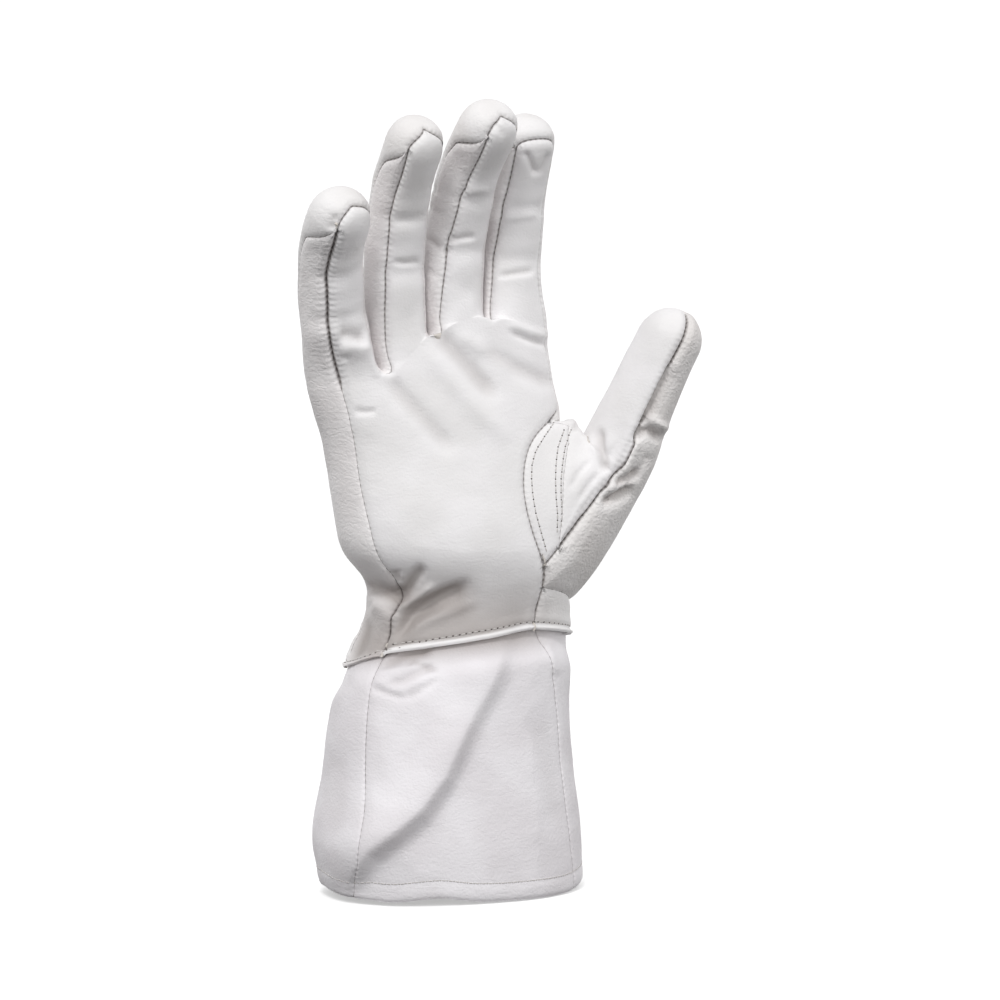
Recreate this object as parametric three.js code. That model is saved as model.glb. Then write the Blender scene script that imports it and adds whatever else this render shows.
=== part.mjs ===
import * as THREE from 'three';

// Right hand gauntlet glove of white grain leather in its worn shape: fingers up, palm
// towards -Y, thumb on +X. Lengths in mm, angles in degrees. The origin is the middle of
// the wrist opening, where the arm goes in.

// Driving dimensions
const LEATHER = 1.2;              // thickness of one layer of leather
const HEM_LEATHER = 2.2;          // thickness where the cuff edge is turned in
const HEM_HEIGHT = 11;            // height of the turned edge
const GAP = 0.3;                  // gap between neighbouring pieces at every seam
const FORK_GAP = 0.8;             // gap at the corners where the fingers part
const HOLE_GAP = 1.7;             // gap at the rear upper corner of the thumb hole
const FORK_LEATHER = 0.9;         // leather pared down at those corners
const LAP = 7;                    // length of cuff that goes up inside the hand part
const LAP_STEP = LEATHER + 0.7;   // depth of the cuff surface inside the hand part there
const LAP_EASE = 14;              // length over which the cuff steps in below the seam

// Mesh counts
const ROWS = 14;                  // rows of the hand part between wrist seam and fingers
const PANEL = 24;                 // columns of the palm, and of the back: six per finger
const STRIP = 3;                  // columns of every side strip
const THUMB_SIDE = 6;             // columns of the thumb side of the hand
const FINGER_NEAR = [0, 2.2, 5.5, 11, 18];   // rows just above the crotch, mm
const FINGER_SHAFT = 5;           // rows from there to the finger tip
const CAP = [0.52, 0.80, 0.94];   // rows over the finger tip, share of the tip length
const FORK_TIP = 1;               // cap row where the side strips of the fingers end
const CUFF_ROWS = 11;
const CUFF_FRONT = 15;
const CUFF_BACK = 28;
const THUMB_SHAFT = [0.13, 0.27, 0.42, 0.57, 0.70];
const THUMB_CAP = [0.86, 0.955, 0.985];

const clamp = (x, low = 0, high = 1) => Math.min(high, Math.max(low, x));
const lerp = (a, b, t) => a + (b - a) * t;
const smooth = (x) => { const t = clamp(x); return t * t * (3 - 2 * t); };
const quick = (x) => Math.sqrt(1 - (1 - clamp(x)) ** 2);
const bump = (x) => Math.exp(-x * x);
const rad = (degrees) => degrees * Math.PI / 180;
const vec = (x, y, z) => new THREE.Vector3(x, y, z);
const mix = (a, b, t) => a.clone().lerp(b, t);

// A table with named columns, read with a smooth curve through its rows. The first column
// is the key.
function table(columns, rows) {
  const slopes = rows.map((row, i) => {
    const before = rows[Math.max(i - 1, 0)];
    const after = rows[Math.min(i + 1, rows.length - 1)];
    return row.map((_, c) => (after[c] - before[c]) / (after[0] - before[0]));
  });
  return (key) => {
    const k = clamp(key, rows[0][0], rows[rows.length - 1][0]);
    let i = 0;
    while (i < rows.length - 2 && k >= rows[i + 1][0]) i += 1;
    const h = rows[i + 1][0] - rows[i][0];
    const t = (k - rows[i][0]) / h;
    const a = 2 * t ** 3 - 3 * t ** 2 + 1;
    const b = (t ** 3 - 2 * t ** 2 + t) * h;
    const c = -2 * t ** 3 + 3 * t ** 2;
    const d = (t ** 3 - t ** 2) * h;
    const out = {};
    columns.forEach((name, n) => {
      out[name] = a * rows[i][n] + b * slopes[i][n] + c * rows[i + 1][n] + d * slopes[i + 1][n];
    });
    return out;
  };
}

// Cross sections of cuff, wrist and palm
const BODY = table(['z', 'cx', 'half', 'palm', 'back'], [
  [0, 1.6, 53.1, 38, 36], [18, -0.4, 54.6, 37, 35], [42, -0.2, 51.5, 34, 32],
  [66, 0.8, 48.9, 31, 29.5], [90, 4.7, 46.0, 28, 27.5], [108, 8.1, 42.6, 26, 25.5],
  [120, 7.9, 42.4, 26, 24.5], [132, 4.0, 45.7, 26, 23.5], [144, 2.0, 47.2, 25.5, 22.5],
  [156, 0.4, 48.4, 24.5, 21.5], [174, -2.3, 49.6, 22.5, 19.5], [186, -5.0, 50.9, 21, 18],
  [198, -8.2, 51.4, 19, 17], [210, -10.5, 51.7, 17.5, 16], [226, -11.5, 51.7, 16.5, 15.5],
]);
const SQUARENESS = 2.25;          // exponent of the flattened oval section

// Angles of the long seams of the hand part: 0 thumb side, 90 palm, 180 little finger side
const SEAMS = table(['z', 'thumb', 'little', 'strip'], [
  [84, 60, 149, 198], [104, 60.5, 149.5, 200], [113, 59.5, 147, 201], [121, 58, 146, 202],
  [131, 60, 144, 203], [141, 63.5, 144, 204], [151, 65, 145, 205], [159, 64, 145.5, 205],
  [168, 60, 145, 204], [175.5, 52.5, 144, 203], [181.5, 38, 143, 202], [186, 18, 142, 200],
  [195, 13, 141.5, 198], [221, 18, 141, 196],
]);
// The thumb seam without the cut for the thumb, for the inner columns of the palm
const CALM = table(['z', 'thumb'], [
  [84, 57], [108, 57], [140, 51], [165, 40], [185, 27], [200, 19], [226, 18],
]);
const WRAP = -32;                 // angle where the thumb side turns into the back
const WRIST = table(['angle', 'z'], [
  [-180, 87.1], [-164, 84.2], [-120, 87], [-60, 91], [-32, 93], [12, 95], [52, 100],
  [100, 96], [153, 92], [180, 87.1],
]);
// Top of the palm and of the back at the four crotches and the two sides
const CELLS = table(['u', 'palmAngle', 'palmZ', 'backAngle', 'backZ'], [
  [0, 142, 196, -164, 194], [0.25, 110, 202.5, -124, 199], [0.5, 89, 218.5, -93, 214],
  [0.75, 64.5, 223.5, -66, 219], [1, 18, 215, -32, 212],
]);
const LITTLE_TOP = CELLS(0);
const THUMB_TOP = CELLS(1);
const CUFF_SEAMS = table(['z', 'thumb', 'little'], [
  [-4, 38, 153], [3, 38.5, 149], [12, 39.5, 142], [28, 40, 139.5], [48, 40, 143],
  [64, 41, 145], [75, 44.5, 147], [86, 50, 148.5], [96, 55, 149], [109, 60, 149],
]);
const HEM = table(['angle', 'z'], [
  [-180, -1.5], [-135, -2.5], [-90, -1], [-45, -2.8], [0, -2.4], [28, -3.6], [48, -5],
  [70, -5], [90, -4.6], [106, -2.6], [128, -4], [140, -3.6], [160, -3], [180, -1.5],
]);

// Thumb hole in the hand part: rows, and columns of the back it takes in
const HOLE = { low: 2, high: 10, back: 2 };
const HOLE_DIP = 6;               // how far the lower edge of the hole sags

// Fingers. Lean is to the thumb side, twist turns the bending plane, bends are at the base,
// middle and end joints. Seam moves the palm seam on the little finger side, at the base
// and at the tip, and the palm leather ends at tipRow of the rows over the tip.
const FINGERS = [
  { name: 'little', base: [-46.5, -8, 198], lean: -11.5, twist: 9, length: 83.5,
    width: 13.4, depth: 12.6, bends: [8, 18, 22], seam: [-4, 12], tipRow: 3 },
  { name: 'ring', base: [-24, -4, 210], lean: -3, twist: 5, length: 99,
    width: 12.3, depth: 12, bends: [8, 16, 20], seam: [0, 17], tipRow: 3 },
  { name: 'middle', base: [-0.3, -1.6, 219], lean: 0.5, twist: 6.5, length: 98.5,
    width: 12.3, depth: 12, bends: [9, 18, 22], seam: [0, 4], tipRow: 3 },
  { name: 'index', base: [25, -0.6, 217], lean: 2, twist: -1, length: 88.5,
    width: 12.3, depth: 12, bends: [2, 10, 16], seam: [18, 18], tipRow: 1 },
];
// Seam angles round a finger from base to tip
const FINGER_SEAMS = table(['s', 'radialPalm', 'ulnarPalm', 'ulnarBack', 'radialBack'], [
  [0, 40, 136, 207, 332], [0.35, 34, 127, 200, 338], [0.7, 28, 111, 190, 346],
  [0.88, 24, 110, 166, 354], [1, 22, 118, 152, 358],
]);
const ROOT = 26;                  // length over which a finger takes its own oval
const TIP = 1.05;                 // tip length as a share of the finger's half width
// Bending creases on the palm side: share of the length, depth, half height
const CREASES = [[0.33, 1.0, 4], [0.58, 0.9, 3.5]];

// Thumb: centre line with half width and half depth
const THUMB = table(['t', 'x', 'y', 'z', 'width', 'depth'], [
  [0, 67.5, -12, 168, 16.5, 14.5], [0.5, 78.2, -19, 196.5, 13.8, 13], [1, 91, -25, 225.6, 12.8, 12],
]);
const THUMB_LENGTH = 63;
const THUMB_TIP = 13;
const THUMB_PAD = vec(-0.80, -0.55, 0.25);    // the way the thumb pad faces
// Columns round the thumb: up the palm edge, over the thumb side, on to the back, down the
// back, and back home along the lower edge in two parts
const THUMB_EDGE = { top: 8, side: 11, back: 13, heel: 21, low: 23, all: 26 };
const THUMB_ANGLES = table(['column', 'angle'], [
  [0, 26], [1, 44], [8, 112], [13, 175], [21, 300], [26, 386],
]);
const THUMB_TURN = -12;           // how far the columns turn from the root to the tip
const THUMB_SEAM = 1;             // column of the seam on the palm side
const CRESCENT = [4, 10, 15, 18, 19.2, 19.4, 18.6, 16.5, 9];   // its width by column, mm
const ROOT_ROW = 0.36;            // first row beyond the hole on the back

// Folds and dents: side +1 palm, -1 back; ends of the fold line in X and Z; half width,
// depth into the surface (negative: ridge)
const FOLDS = [
  { side: 1, x: [10, -40], z: [88, 10], width: 9, depth: 2.4 },
  { side: 1, x: [18, -24], z: [66, 22], width: 9, depth: -1.6 },
  { side: 1, x: [-30, -48], z: [118, 108], width: 8, depth: 3.2 },
  { side: 1, x: [-12, -32], z: [119, 98], width: 6, depth: 2.2 },
  { side: 1, x: [-20, -40], z: [128, 106], width: 6, depth: -1.6 },
  { side: 1, x: [-6, 12], z: [206, 178], width: 6, depth: 1.2 },
  { side: 1, x: [8, 30], z: [204, 196], width: 5, depth: 1.1 },
  { side: 1, x: [-28, -2], z: [184, 196], width: 6, depth: -1.0 },
  { side: 1, x: [56, 66], z: [163, 158], width: 7, depth: 2.6 },
  { side: 1, x: [46, 60], z: [178, 170], width: 5, depth: -1.2 },
  { side: -1, x: [-34, 40], z: [104, 112], width: 7, depth: 1.8 },
  { side: -1, x: [-30, 26], z: [122, 124], width: 7, depth: -1.2 },
  { side: -1, x: [30, -30], z: [78, 34], width: 10, depth: 2.0 },
  { side: -1, x: [-38, 4], z: [66, 24], width: 9, depth: -1.5 },
];

function section(z, angle) {
  const row = BODY(z);
  const c = Math.cos(rad(angle));
  const s = Math.sin(rad(angle));
  const across = Math.sign(c) * Math.abs(c) ** (2 / SQUARENESS);
  const out = Math.sign(s) * Math.abs(s) ** (2 / SQUARENESS);
  const arch = smooth((z - 161) / 50);
  const bend = arch * (4.5 * clamp(-across) ** 2 + 1.5 * clamp(across) ** 2);
  return vec(row.cx + row.half * across, -(s > 0 ? row.palm : row.back) * out - bend, z);
}
const turned = (angle) => ((angle + 180) % 360 + 360) % 360 - 180;
const wristZ = (angle) => WRIST(turned(angle)).z;
const dip = (v, share) => HOLE_DIP * bump((v - HOLE.low / ROWS) / 0.11) * smooth(share);

// Palm of the hand, u from the little finger side to the thumb side, v from the wrist up
function palm(u, v) {
  const top = CELLS(u);
  const z = lerp(wristZ(lerp(152, 53, u)), top.palmZ, v);
  const seam = SEAMS(z);
  const calm = CALM(z).thumb;
  const even = lerp(seam.little, calm, u);
  const fanned = top.palmAngle
    + lerp(seam.little - LITTLE_TOP.palmAngle, calm - THUMB_TOP.palmAngle, u);
  return section(z, lerp(even, fanned, smooth((v - 0.25) / 0.75)) + (seam.thumb - calm) * u ** 4);
}
// Back of the hand, u from the thumb side to the little finger side
function backOfHand(u, v) {
  const top = CELLS(1 - u);
  const z = lerp(wristZ(lerp(WRAP, -164, u)), top.backZ, v) - dip(v, 1 - u / 0.35);
  const seam = SEAMS(z);
  const even = lerp(WRAP, seam.strip - 360, u);
  const fanned = top.backAngle + (seam.strip - 360 - LITTLE_TOP.backAngle) * u;
  return section(z, lerp(even, fanned, smooth((v - 0.25) / 0.75)));
}
// Little finger side, u from the palm seam to the back seam
function littleSide(u, v) {
  const z = lerp(lerp(wristZ(152), wristZ(-164), u), lerp(LITTLE_TOP.palmZ, LITTLE_TOP.backZ, u), v);
  const seam = SEAMS(z);
  return section(z, lerp(seam.little, seam.strip, u));
}
// Thumb side, u from the palm seam to the back
function thumbSide(u, v) {
  const z = lerp(lerp(wristZ(53), wristZ(WRAP), u), lerp(THUMB_TOP.palmZ, THUMB_TOP.backZ, u), v)
    - dip(v, u);
  return section(z, lerp(SEAMS(z).thumb, WRAP, u));
}

// Centre line and frame of a finger at distance s from its base
const CENTRE_STEPS = 80;
const centreLines = FINGERS.map(({ base, lean, twist, length, bends }) => {
  const up = vec(Math.sin(rad(lean)), 0, Math.cos(rad(lean)));
  const pad = vec(Math.sin(rad(twist)), -Math.cos(rad(twist)), 0);
  pad.addScaledVector(up, -pad.dot(up)).normalize();
  const bendAt = (s) => rad(bends[0] + bends[1] * smooth((s / length - 0.30) / 0.22)
    + bends[2] * smooth((s / length - 0.58) / 0.22));
  const step = length / CENTRE_STEPS;
  const points = [vec(...base)];
  for (let i = 0; i < CENTRE_STEPS; i += 1) {
    const a = bendAt((i + 0.5) * step);
    points.push(points[i].clone().addScaledVector(up, Math.cos(a) * step)
      .addScaledVector(pad, Math.sin(a) * step));
  }
  return { up, pad, bendAt, step, points };
});
function fingerFrame(f, s) {
  const { up, pad, bendAt, step, points } = centreLines[f];
  const i = Math.min(Math.floor(s / step), CENTRE_STEPS - 1);
  const a = bendAt(s);
  const along = up.clone().multiplyScalar(Math.cos(a)).addScaledVector(pad, Math.sin(a));
  const front = pad.clone().multiplyScalar(Math.cos(a)).addScaledVector(up, -Math.sin(a));
  return { centre: mix(points[i], points[i + 1], s / step - i), front,
    across: along.clone().cross(front) };
}

// Columns round a finger: palm side 0 to 6, thumb side strip to 9, back to 15, little
// finger side strip to 18
const RING = 18;
function fingerAngle(f, k, s) {
  const { length, seam } = FINGERS[f];
  const at = FINGER_SEAMS(s / length);
  const ulnar = at.ulnarPalm + lerp(seam[0], seam[1], smooth((s / length - 0.3) / 0.4));
  if (k <= 6) return lerp(ulnar, at.radialPalm, k / 6);
  if (k <= 9) return lerp(at.radialPalm, at.radialBack - 360, (k - 6) / 3);
  if (k <= 15) return lerp(at.radialBack - 360, at.ulnarBack - 360, (k - 9) / 6);
  return lerp(at.ulnarBack - 360, ulnar - 360, (k - 15) / 3);
}
// Line across the fork between two fingers, t from the palm to the back
const crotch = (j, t) => mix(palm(j / 4, 1), backOfHand(1 - j / 4, 1), t);
function fingerRoot(f, k) {
  if (k <= 6) return palm((f + k / 6) / 4, 1);
  if (k <= 9) return f === 3 ? thumbSide((k - 6) / 3, 1) : crotch(f + 1, (k - 6) / 3);
  if (k <= 15) return backOfHand(1 - (f + 1 - (k - 9) / 6) / 4, 1);
  return f === 0 ? littleSide(1 - (k - 15) / 3, 1) : crotch(f, 1 - (k - 15) / 3);
}
const nearColumn = (k, c) => smooth(1 - Math.abs(k - c) / 2.5);
function finger(f, column, s) {
  const k = column % RING;
  const { length, width, depth } = FINGERS[f];
  const frame = fingerFrame(f, s);
  const tip = width * TIP;
  const cap = (1 - clamp((s - (length - tip)) / tip) ** 2.5) ** 0.45;
  const taper = lerp(1, 0.93, smooth(s / length)) * cap;
  const angle = rad(fingerAngle(f, k, s));
  let crease = 0;
  CREASES.forEach(([share, deep, half]) => {
    crease += deep * bump((s - share * length) / half) * smooth(Math.sin(angle) * 1.6);
  });
  const own = frame.centre.clone()
    .addScaledVector(frame.across, width * taper * Math.cos(angle))
    .addScaledVector(frame.front, depth * taper * Math.sin(angle) - crease);
  const right = f === 3 ? 0 : (k >= 6 && k <= 9 ? 1 : Math.max(nearColumn(k, 6), nearColumn(k, 9)));
  const left = f === 0 ? 0 : (k >= 15 ? 1 : Math.max(nearColumn(k, 0), nearColumn(k, 15)));
  const forked = Math.max(right, left);
  const eased = smooth(s / ROOT);
  const share = lerp(eased, 0.75 * quick(s / 9) + 0.25 * eased, forked);
  return fingerRoot(f, k).addScaledVector(centreLines[f].up, s).lerp(own, share);
}

// Free thumb, x 0 to 1 along its length
function thumb(column, x) {
  const row = THUMB(x);
  const low = THUMB(Math.max(x - 0.001, 0));
  const high = THUMB(Math.min(x + 0.001, 1));
  const along = vec(high.x - low.x, high.y - low.y, high.z - low.z).normalize();
  const pad = THUMB_PAD.clone().addScaledVector(along, -THUMB_PAD.dot(along)).normalize();
  const across = along.clone().cross(pad);
  const t = clamp((x * THUMB_LENGTH - (THUMB_LENGTH - THUMB_TIP)) / THUMB_TIP);
  const cap = Math.sqrt(1 - t * t);
  const angle = rad(THUMB_ANGLES(column % THUMB_EDGE.all).angle + THUMB_TURN * x);
  return vec(row.x, row.y, row.z).addScaledVector(across, row.width * cap * Math.cos(angle))
    .addScaledVector(pad, row.depth * cap * Math.sin(angle));
}
// Edge of the thumb hole: up the palm seam, over the thumb side, down the back, and home
function holeEdge(column) {
  const { top, side, back, heel, low: turn, all } = THUMB_EDGE;
  const k = column % all;
  const low = HOLE.low / ROWS;
  const high = HOLE.high / ROWS;
  if (k <= top) return palm(1, lerp(low, high, k / top));
  if (k <= side) return thumbSide((k - top) / (side - top), high);
  if (k <= back) return backOfHand((k - side) / PANEL, high);
  if (k <= heel) return backOfHand(HOLE.back / PANEL, lerp(high, low, (k - back) / (heel - back)));
  if (k <= turn) return backOfHand((turn - k) / PANEL, low);
  return thumbSide(1 - (k - turn) / (all - turn), low);
}
// Leather between the hole and the free thumb, t 0 to 1
function thumbRoot(column, t) {
  const k = column % THUMB_EDGE.all;
  const swell = Math.sin(Math.PI * t);
  const heel = swell ** 0.8 * bump((k - 22.5) / 3) * 4;
  const web = swell * bump((k - 9.5) / 1.7) * 5;
  return mix(holeEdge(k), thumb(k, 0), t).add(vec(0.7 * heel + 0.3 * web, 0, web - 0.7 * heel));
}

// Cuff surface between two seams, t across, share up from the hem. The angle of a seam
// changes with height, so a few rounds settle height and angle.
function cuffPoint(share, seamA, seamB, t) {
  let z = 50;
  let angle = 0;
  for (let i = 0; i < 4; i += 1) {
    angle = lerp(seamA(z), seamB(z), t);
    z = lerp(HEM(turned(angle)).z, wristZ(angle) + LAP, share);
  }
  const point = section(z, angle);
  const inward = section(z, angle + 1).sub(section(z, angle - 1))
    .cross(section(z + 1, angle).sub(section(z - 1, angle))).normalize();
  const step = LAP_STEP * smooth((z - wristZ(angle) + LAP_EASE) / 10);
  return point.addScaledVector(inward, step);
}

// Welded surface of the whole glove, with the piece that every face belongs to
const points = [];
const wall = [];
const gaps = [];
const faces = [];
const index = new Map();
function vertex(p, thickness = LEATHER, gap = GAP) {
  const key = [p.x, p.y, p.z].map((c) => Math.round(c * 500)).join(' ');
  if (!index.has(key)) {
    index.set(key, points.length);
    points.push(p.clone());
    wall.push(thickness);
    gaps.push(gap);
  }
  const id = index.get(key);
  gaps[id] = Math.max(gaps[id], gap);
  if (thickness < LEATHER) wall[id] = thickness;
  return id;
}
function face(piece, ids) {
  const ring = ids.filter((id, i) => id !== ids[(i + 1) % ids.length]);
  if (ring.length > 2) faces.push({ piece, ids: ring });
}
// Grid of faces. at(i, j) gives the point, pieceAt(i, j) the piece or nothing; the outer
// side is where i runs right and j runs up.
function grid(columns, rows, at, pieceAt, options = {}) {
  const { flip = false, thicknessAt = () => LEATHER, gapAt = () => GAP } = options;
  const ids = [];
  for (let i = 0; i <= columns; i += 1) {
    ids.push([]);
    for (let j = 0; j <= rows; j += 1) {
      ids[i].push(vertex(at(i, j), thicknessAt(i, j), gapAt(i, j)));
    }
  }
  for (let i = 0; i < columns; i += 1) {
    for (let j = 0; j < rows; j += 1) {
      const piece = pieceAt(i, j);
      if (!piece) continue;
      const around = [ids[i][j], ids[i + 1][j], ids[i + 1][j + 1], ids[i][j + 1]];
      face(piece, flip ? around.reverse() : around);
    }
  }
}

const inHole = (j) => j >= HOLE.low && j < HOLE.high;
grid(PANEL, ROWS, (i, j) => palm(i / PANEL, j / ROWS), () => 'palm_panel');
grid(STRIP, ROWS, (i, j) => littleSide(i / STRIP, j / ROWS), () => 'little_side_strip', { flip: true });
grid(THUMB_SIDE, ROWS, (i, j) => thumbSide(i / THUMB_SIDE, j / ROWS),
  (i, j) => !inHole(j) && 'back_panel');
grid(PANEL, ROWS, (i, j) => backOfHand(i / PANEL, j / ROWS),
  (i, j) => !(inHole(j) && i < HOLE.back) && 'back_panel');

// Column numbers round a ring, with half steps where the thumb side needs finer columns
function ringColumns(count, fine) {
  const columns = [];
  for (let k = 0; k < count; k += 1) {
    columns.push(k);
    if (fine.some(([from, to]) => k >= from && k < to)) columns.push(k + 0.5);
  }
  return [...columns, count];
}
const FORKS = ['fourchette_little_ring', 'fourchette_ring_middle', 'fourchette_middle_index'];
FINGERS.forEach(({ name, length, width, tipRow }, f) => {
  const tip = width * TIP;
  const start = FINGER_NEAR[FINGER_NEAR.length - 1];
  const rows = [...FINGER_NEAR];
  for (let i = 1; i <= FINGER_SHAFT; i += 1) rows.push(lerp(start, length - tip, i / FINGER_SHAFT));
  const seamRow = rows.length - 1;
  CAP.forEach((x) => rows.push(length - tip + tip * x));
  rows.push(length);
  const columns = ringColumns(RING, f === 3 ? [[6, 9]] : []);
  const piece = (i, j) => {
    const k = columns[i];
    const back = `${name}_back`;
    if (k < 6) return j >= seamRow + tipRow ? back : 'palm_panel';
    if (j >= seamRow + FORK_TIP) return back;
    if (k < 9) return f === 3 ? back : FORKS[f];
    if (k < 15) return back;
    return f === 0 ? 'little_side_strip' : FORKS[f - 1];
  };
  // The corners of the fork have more room, as three pieces meet there at sharp angles
  const fork = (i, j) => j === 0 && [0, 6, 9, 15, RING].includes(columns[i]);
  grid(columns.length - 1, rows.length - 1, (i, j) => finger(f, columns[i], rows[j]), piece, {
    gapAt: (i, j) => (fork(i, j) ? FORK_GAP : GAP),
    thicknessAt: (i, j) => (fork(i, j) ? FORK_LEATHER : LEATHER),
  });
});

// Share of the thumb root taken by its first row, which is the crescent on the palm side
function firstRow(column) {
  const { top, side, back, all } = THUMB_EDGE;
  const k = column % all;
  const crescent = (c) => CRESCENT[c] / holeEdge(c).distanceTo(thumb(c, 0));
  if (k <= top) return crescent(k);
  if (k <= back + 3) return lerp(crescent(top), ROOT_ROW, smooth((k - top) / (side - top)));
  return lerp(ROOT_ROW, crescent(0), smooth((k - back - 3) / (all - back - 3)));
}
const thumbRows = [
  (k) => holeEdge(k),
  (k) => thumbRoot(k, firstRow(k)),
  (k) => thumbRoot(k, lerp(firstRow(k), 1, 0.5)),
  (k) => thumbRoot(k, 1),
  ...[...THUMB_SHAFT, ...THUMB_CAP, 1].map((x) => (k) => thumb(k, x)),
];
const thumbColumns = ringColumns(THUMB_EDGE.all,
  [[THUMB_EDGE.top, THUMB_EDGE.side], [THUMB_EDGE.low, THUMB_EDGE.all]]);
const thumbCorner = (i, j) => j === 0 && Math.abs(thumbColumns[i] - THUMB_EDGE.back) <= 1;
grid(thumbColumns.length - 1, thumbRows.length - 1, (i, j) => thumbRows[j](thumbColumns[i]), (i, j) => {
  const k = thumbColumns[i];
  if (k < THUMB_SEAM || k >= THUMB_EDGE.back) return 'thumb_back';
  return j === 0 && k < THUMB_EDGE.top ? 'thumb_crescent' : 'thumb_front';
}, {
  flip: true,
  gapAt: (i, j) => (thumbCorner(i, j) ? HOLE_GAP : GAP),
  thicknessAt: (i, j) => (thumbCorner(i, j) ? FORK_LEATHER : LEATHER),
});

const cuffShare = (j) => {
  const height = 100;
  const rows = [0, HEM_HEIGHT / height, (HEM_HEIGHT + 2) / height];
  return j < 3 ? rows[j] : lerp(rows[2], 1, (j - 2) / (CUFF_ROWS - 2));
};
const hemThickness = (i, j) => (j < 2 ? HEM_LEATHER : LEATHER);
grid(CUFF_FRONT, CUFF_ROWS, (i, j) => cuffPoint(cuffShare(j), (z) => CUFF_SEAMS(z).little,
  (z) => CUFF_SEAMS(z).thumb, i / CUFF_FRONT), () => 'cuff_front', { thicknessAt: hemThickness });
grid(CUFF_BACK, CUFF_ROWS, (i, j) => cuffPoint(cuffShare(j), (z) => CUFF_SEAMS(z).thumb,
  (z) => CUFF_SEAMS(z).little - 360, i / CUFF_BACK), () => 'cuff_back', { thicknessAt: hemThickness });

function faceNormal(ids) {
  const [a, b, c] = [points[ids[0]], points[ids[1]], points[ids[2]]];
  const normal = b.clone().sub(a).cross(c.clone().sub(a));
  if (ids.length > 3) {
    const d = points[ids[3]];
    normal.add(c.clone().sub(a).cross(d.clone().sub(a)));
  }
  return normal;
}
function vertexNormals() {
  const normals = points.map(() => vec(0, 0, 0));
  faces.forEach(({ ids }) => {
    const normal = faceNormal(ids);
    ids.forEach((id) => normals[id].add(normal));
  });
  return normals.map((n) => n.normalize());
}
// Distance from a point to a fold line in X and Z, and how far along the line it is
function foldShare(p, fold) {
  const dx = fold.x[1] - fold.x[0];
  const dz = fold.z[1] - fold.z[0];
  const length = Math.hypot(dx, dz);
  const along = ((p.x - fold.x[0]) * dx + (p.z - fold.z[0]) * dz) / length;
  const aside = ((p.x - fold.x[0]) * dz - (p.z - fold.z[0]) * dx) / length;
  const past = Math.max(-along, along - length, 0);
  return bump(aside / fold.width) * bump(past / fold.width);
}
vertexNormals().forEach((n, id) => {
  let depth = 0;
  FOLDS.forEach((fold) => {
    depth += fold.depth * foldShare(points[id], fold) * smooth(-n.y * fold.side * 1.5);
  });
  points[id].addScaledVector(n, -depth);
});
const normals = vertexNormals();

// Closed body of one piece: outer surface, inner surface one leather thickness in, and
// walls round its edges, drawn back by half the seam gap
function solidOf(piece) {
  const own = faces.filter((f) => f.piece === piece);
  const edges = new Map();
  own.forEach(({ ids }) => ids.forEach((a, i) => edges.set(`${a} ${ids[(i + 1) % ids.length]}`, ids)));
  const inward = new Map();
  const border = [];
  edges.forEach((ids, key) => {
    const [a, b] = key.split(' ').map(Number);
    if (edges.has(`${b} ${a}`)) return;
    border.push([a, b]);
    const along = points[b].clone().sub(points[a]).normalize();
    const side = faceNormal(ids).normalize().cross(along);
    [a, b].forEach((id) => inward.set(id, [...(inward.get(id) || []), side]));
  });
  const used = [...new Set(own.flatMap(({ ids }) => ids))];
  const place = new Map(used.map((id, i) => [id, i]));
  const outer = used.map((id) => {
    const p = points[id].clone();
    const sides = inward.get(id);
    if (!sides) return p;
    const sum = sides.reduce((t, s) => t.add(s), vec(0, 0, 0));
    const shift = sum.multiplyScalar(gaps[id] / sum.length() ** 2 * (sides.length / 2));
    return p.add(shift.clampLength(0, gaps[id]));
  });
  const inner = used.map((id, i) => outer[i].clone().addScaledVector(normals[id], -wall[id]));
  const count = used.length;
  const triangles = [];
  own.forEach(({ ids }) => {
    const at = ids.map((id) => place.get(id));
    for (let i = 1; i < at.length - 1; i += 1) {
      triangles.push(at[0], at[i], at[i + 1]);
      triangles.push(count + at[0], count + at[i + 1], count + at[i]);
    }
  });
  border.forEach(([a, b]) => {
    const [pa, pb] = [place.get(a), place.get(b)];
    if (a < b) triangles.push(pb, pa, count + pa, pb, count + pa, count + pb);
    else triangles.push(pb, pa, count + pb, pa, count + pa, count + pb);
  });
  const geometry = new THREE.BufferGeometry();
  geometry.setAttribute('position', new THREE.Float32BufferAttribute(
    [...outer, ...inner].flatMap((p) => [p.x, p.y, p.z]), 3));
  geometry.setIndex(triangles);
  geometry.computeVertexNormals();
  return geometry;
}

const PIECES = [
  ['palm_panel', 0xf2f1f0], ['back_panel', 0xecebe9], ['little_side_strip', 0xe6e3e2],
  ['fourchette_little_ring', 0xe2e0df], ['fourchette_ring_middle', 0xe1dfde],
  ['fourchette_middle_index', 0xe0dedd], ['thumb_front', 0xeeedeb], ['thumb_back', 0xe4e2e0],
  ['thumb_crescent', 0xf0efee], ['cuff_front', 0xebe8e8], ['cuff_back', 0xe8e5e4],
  ...FINGERS.map(({ name }) => [`${name}_back`, 0xecebe9]),
];
const glove = new THREE.Group();
glove.name = 'gauntlet_glove';
PIECES.forEach(([name, color]) => {
  const mesh = new THREE.Mesh(solidOf(name), new THREE.MeshStandardMaterial({ color, roughness: 0.62 }));
  mesh.name = name;
  glove.add(mesh);
});

export default glove;
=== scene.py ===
"""Right hand gauntlet glove of white grain leather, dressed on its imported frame.

The skin of the glove is one surface of patches: palm, back, two sides, fingers, thumb and
cuff. Its points are worked out in mm. Folds, seam grooves and turned edges are pressed into
it, and then the leather pieces are cut out of it and get their thickness.
"""
import math

import bmesh
import bpy
import numpy as np
from mathutils import Matrix, Vector, kdtree, noise
from mathutils.bvhtree import BVHTree


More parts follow.
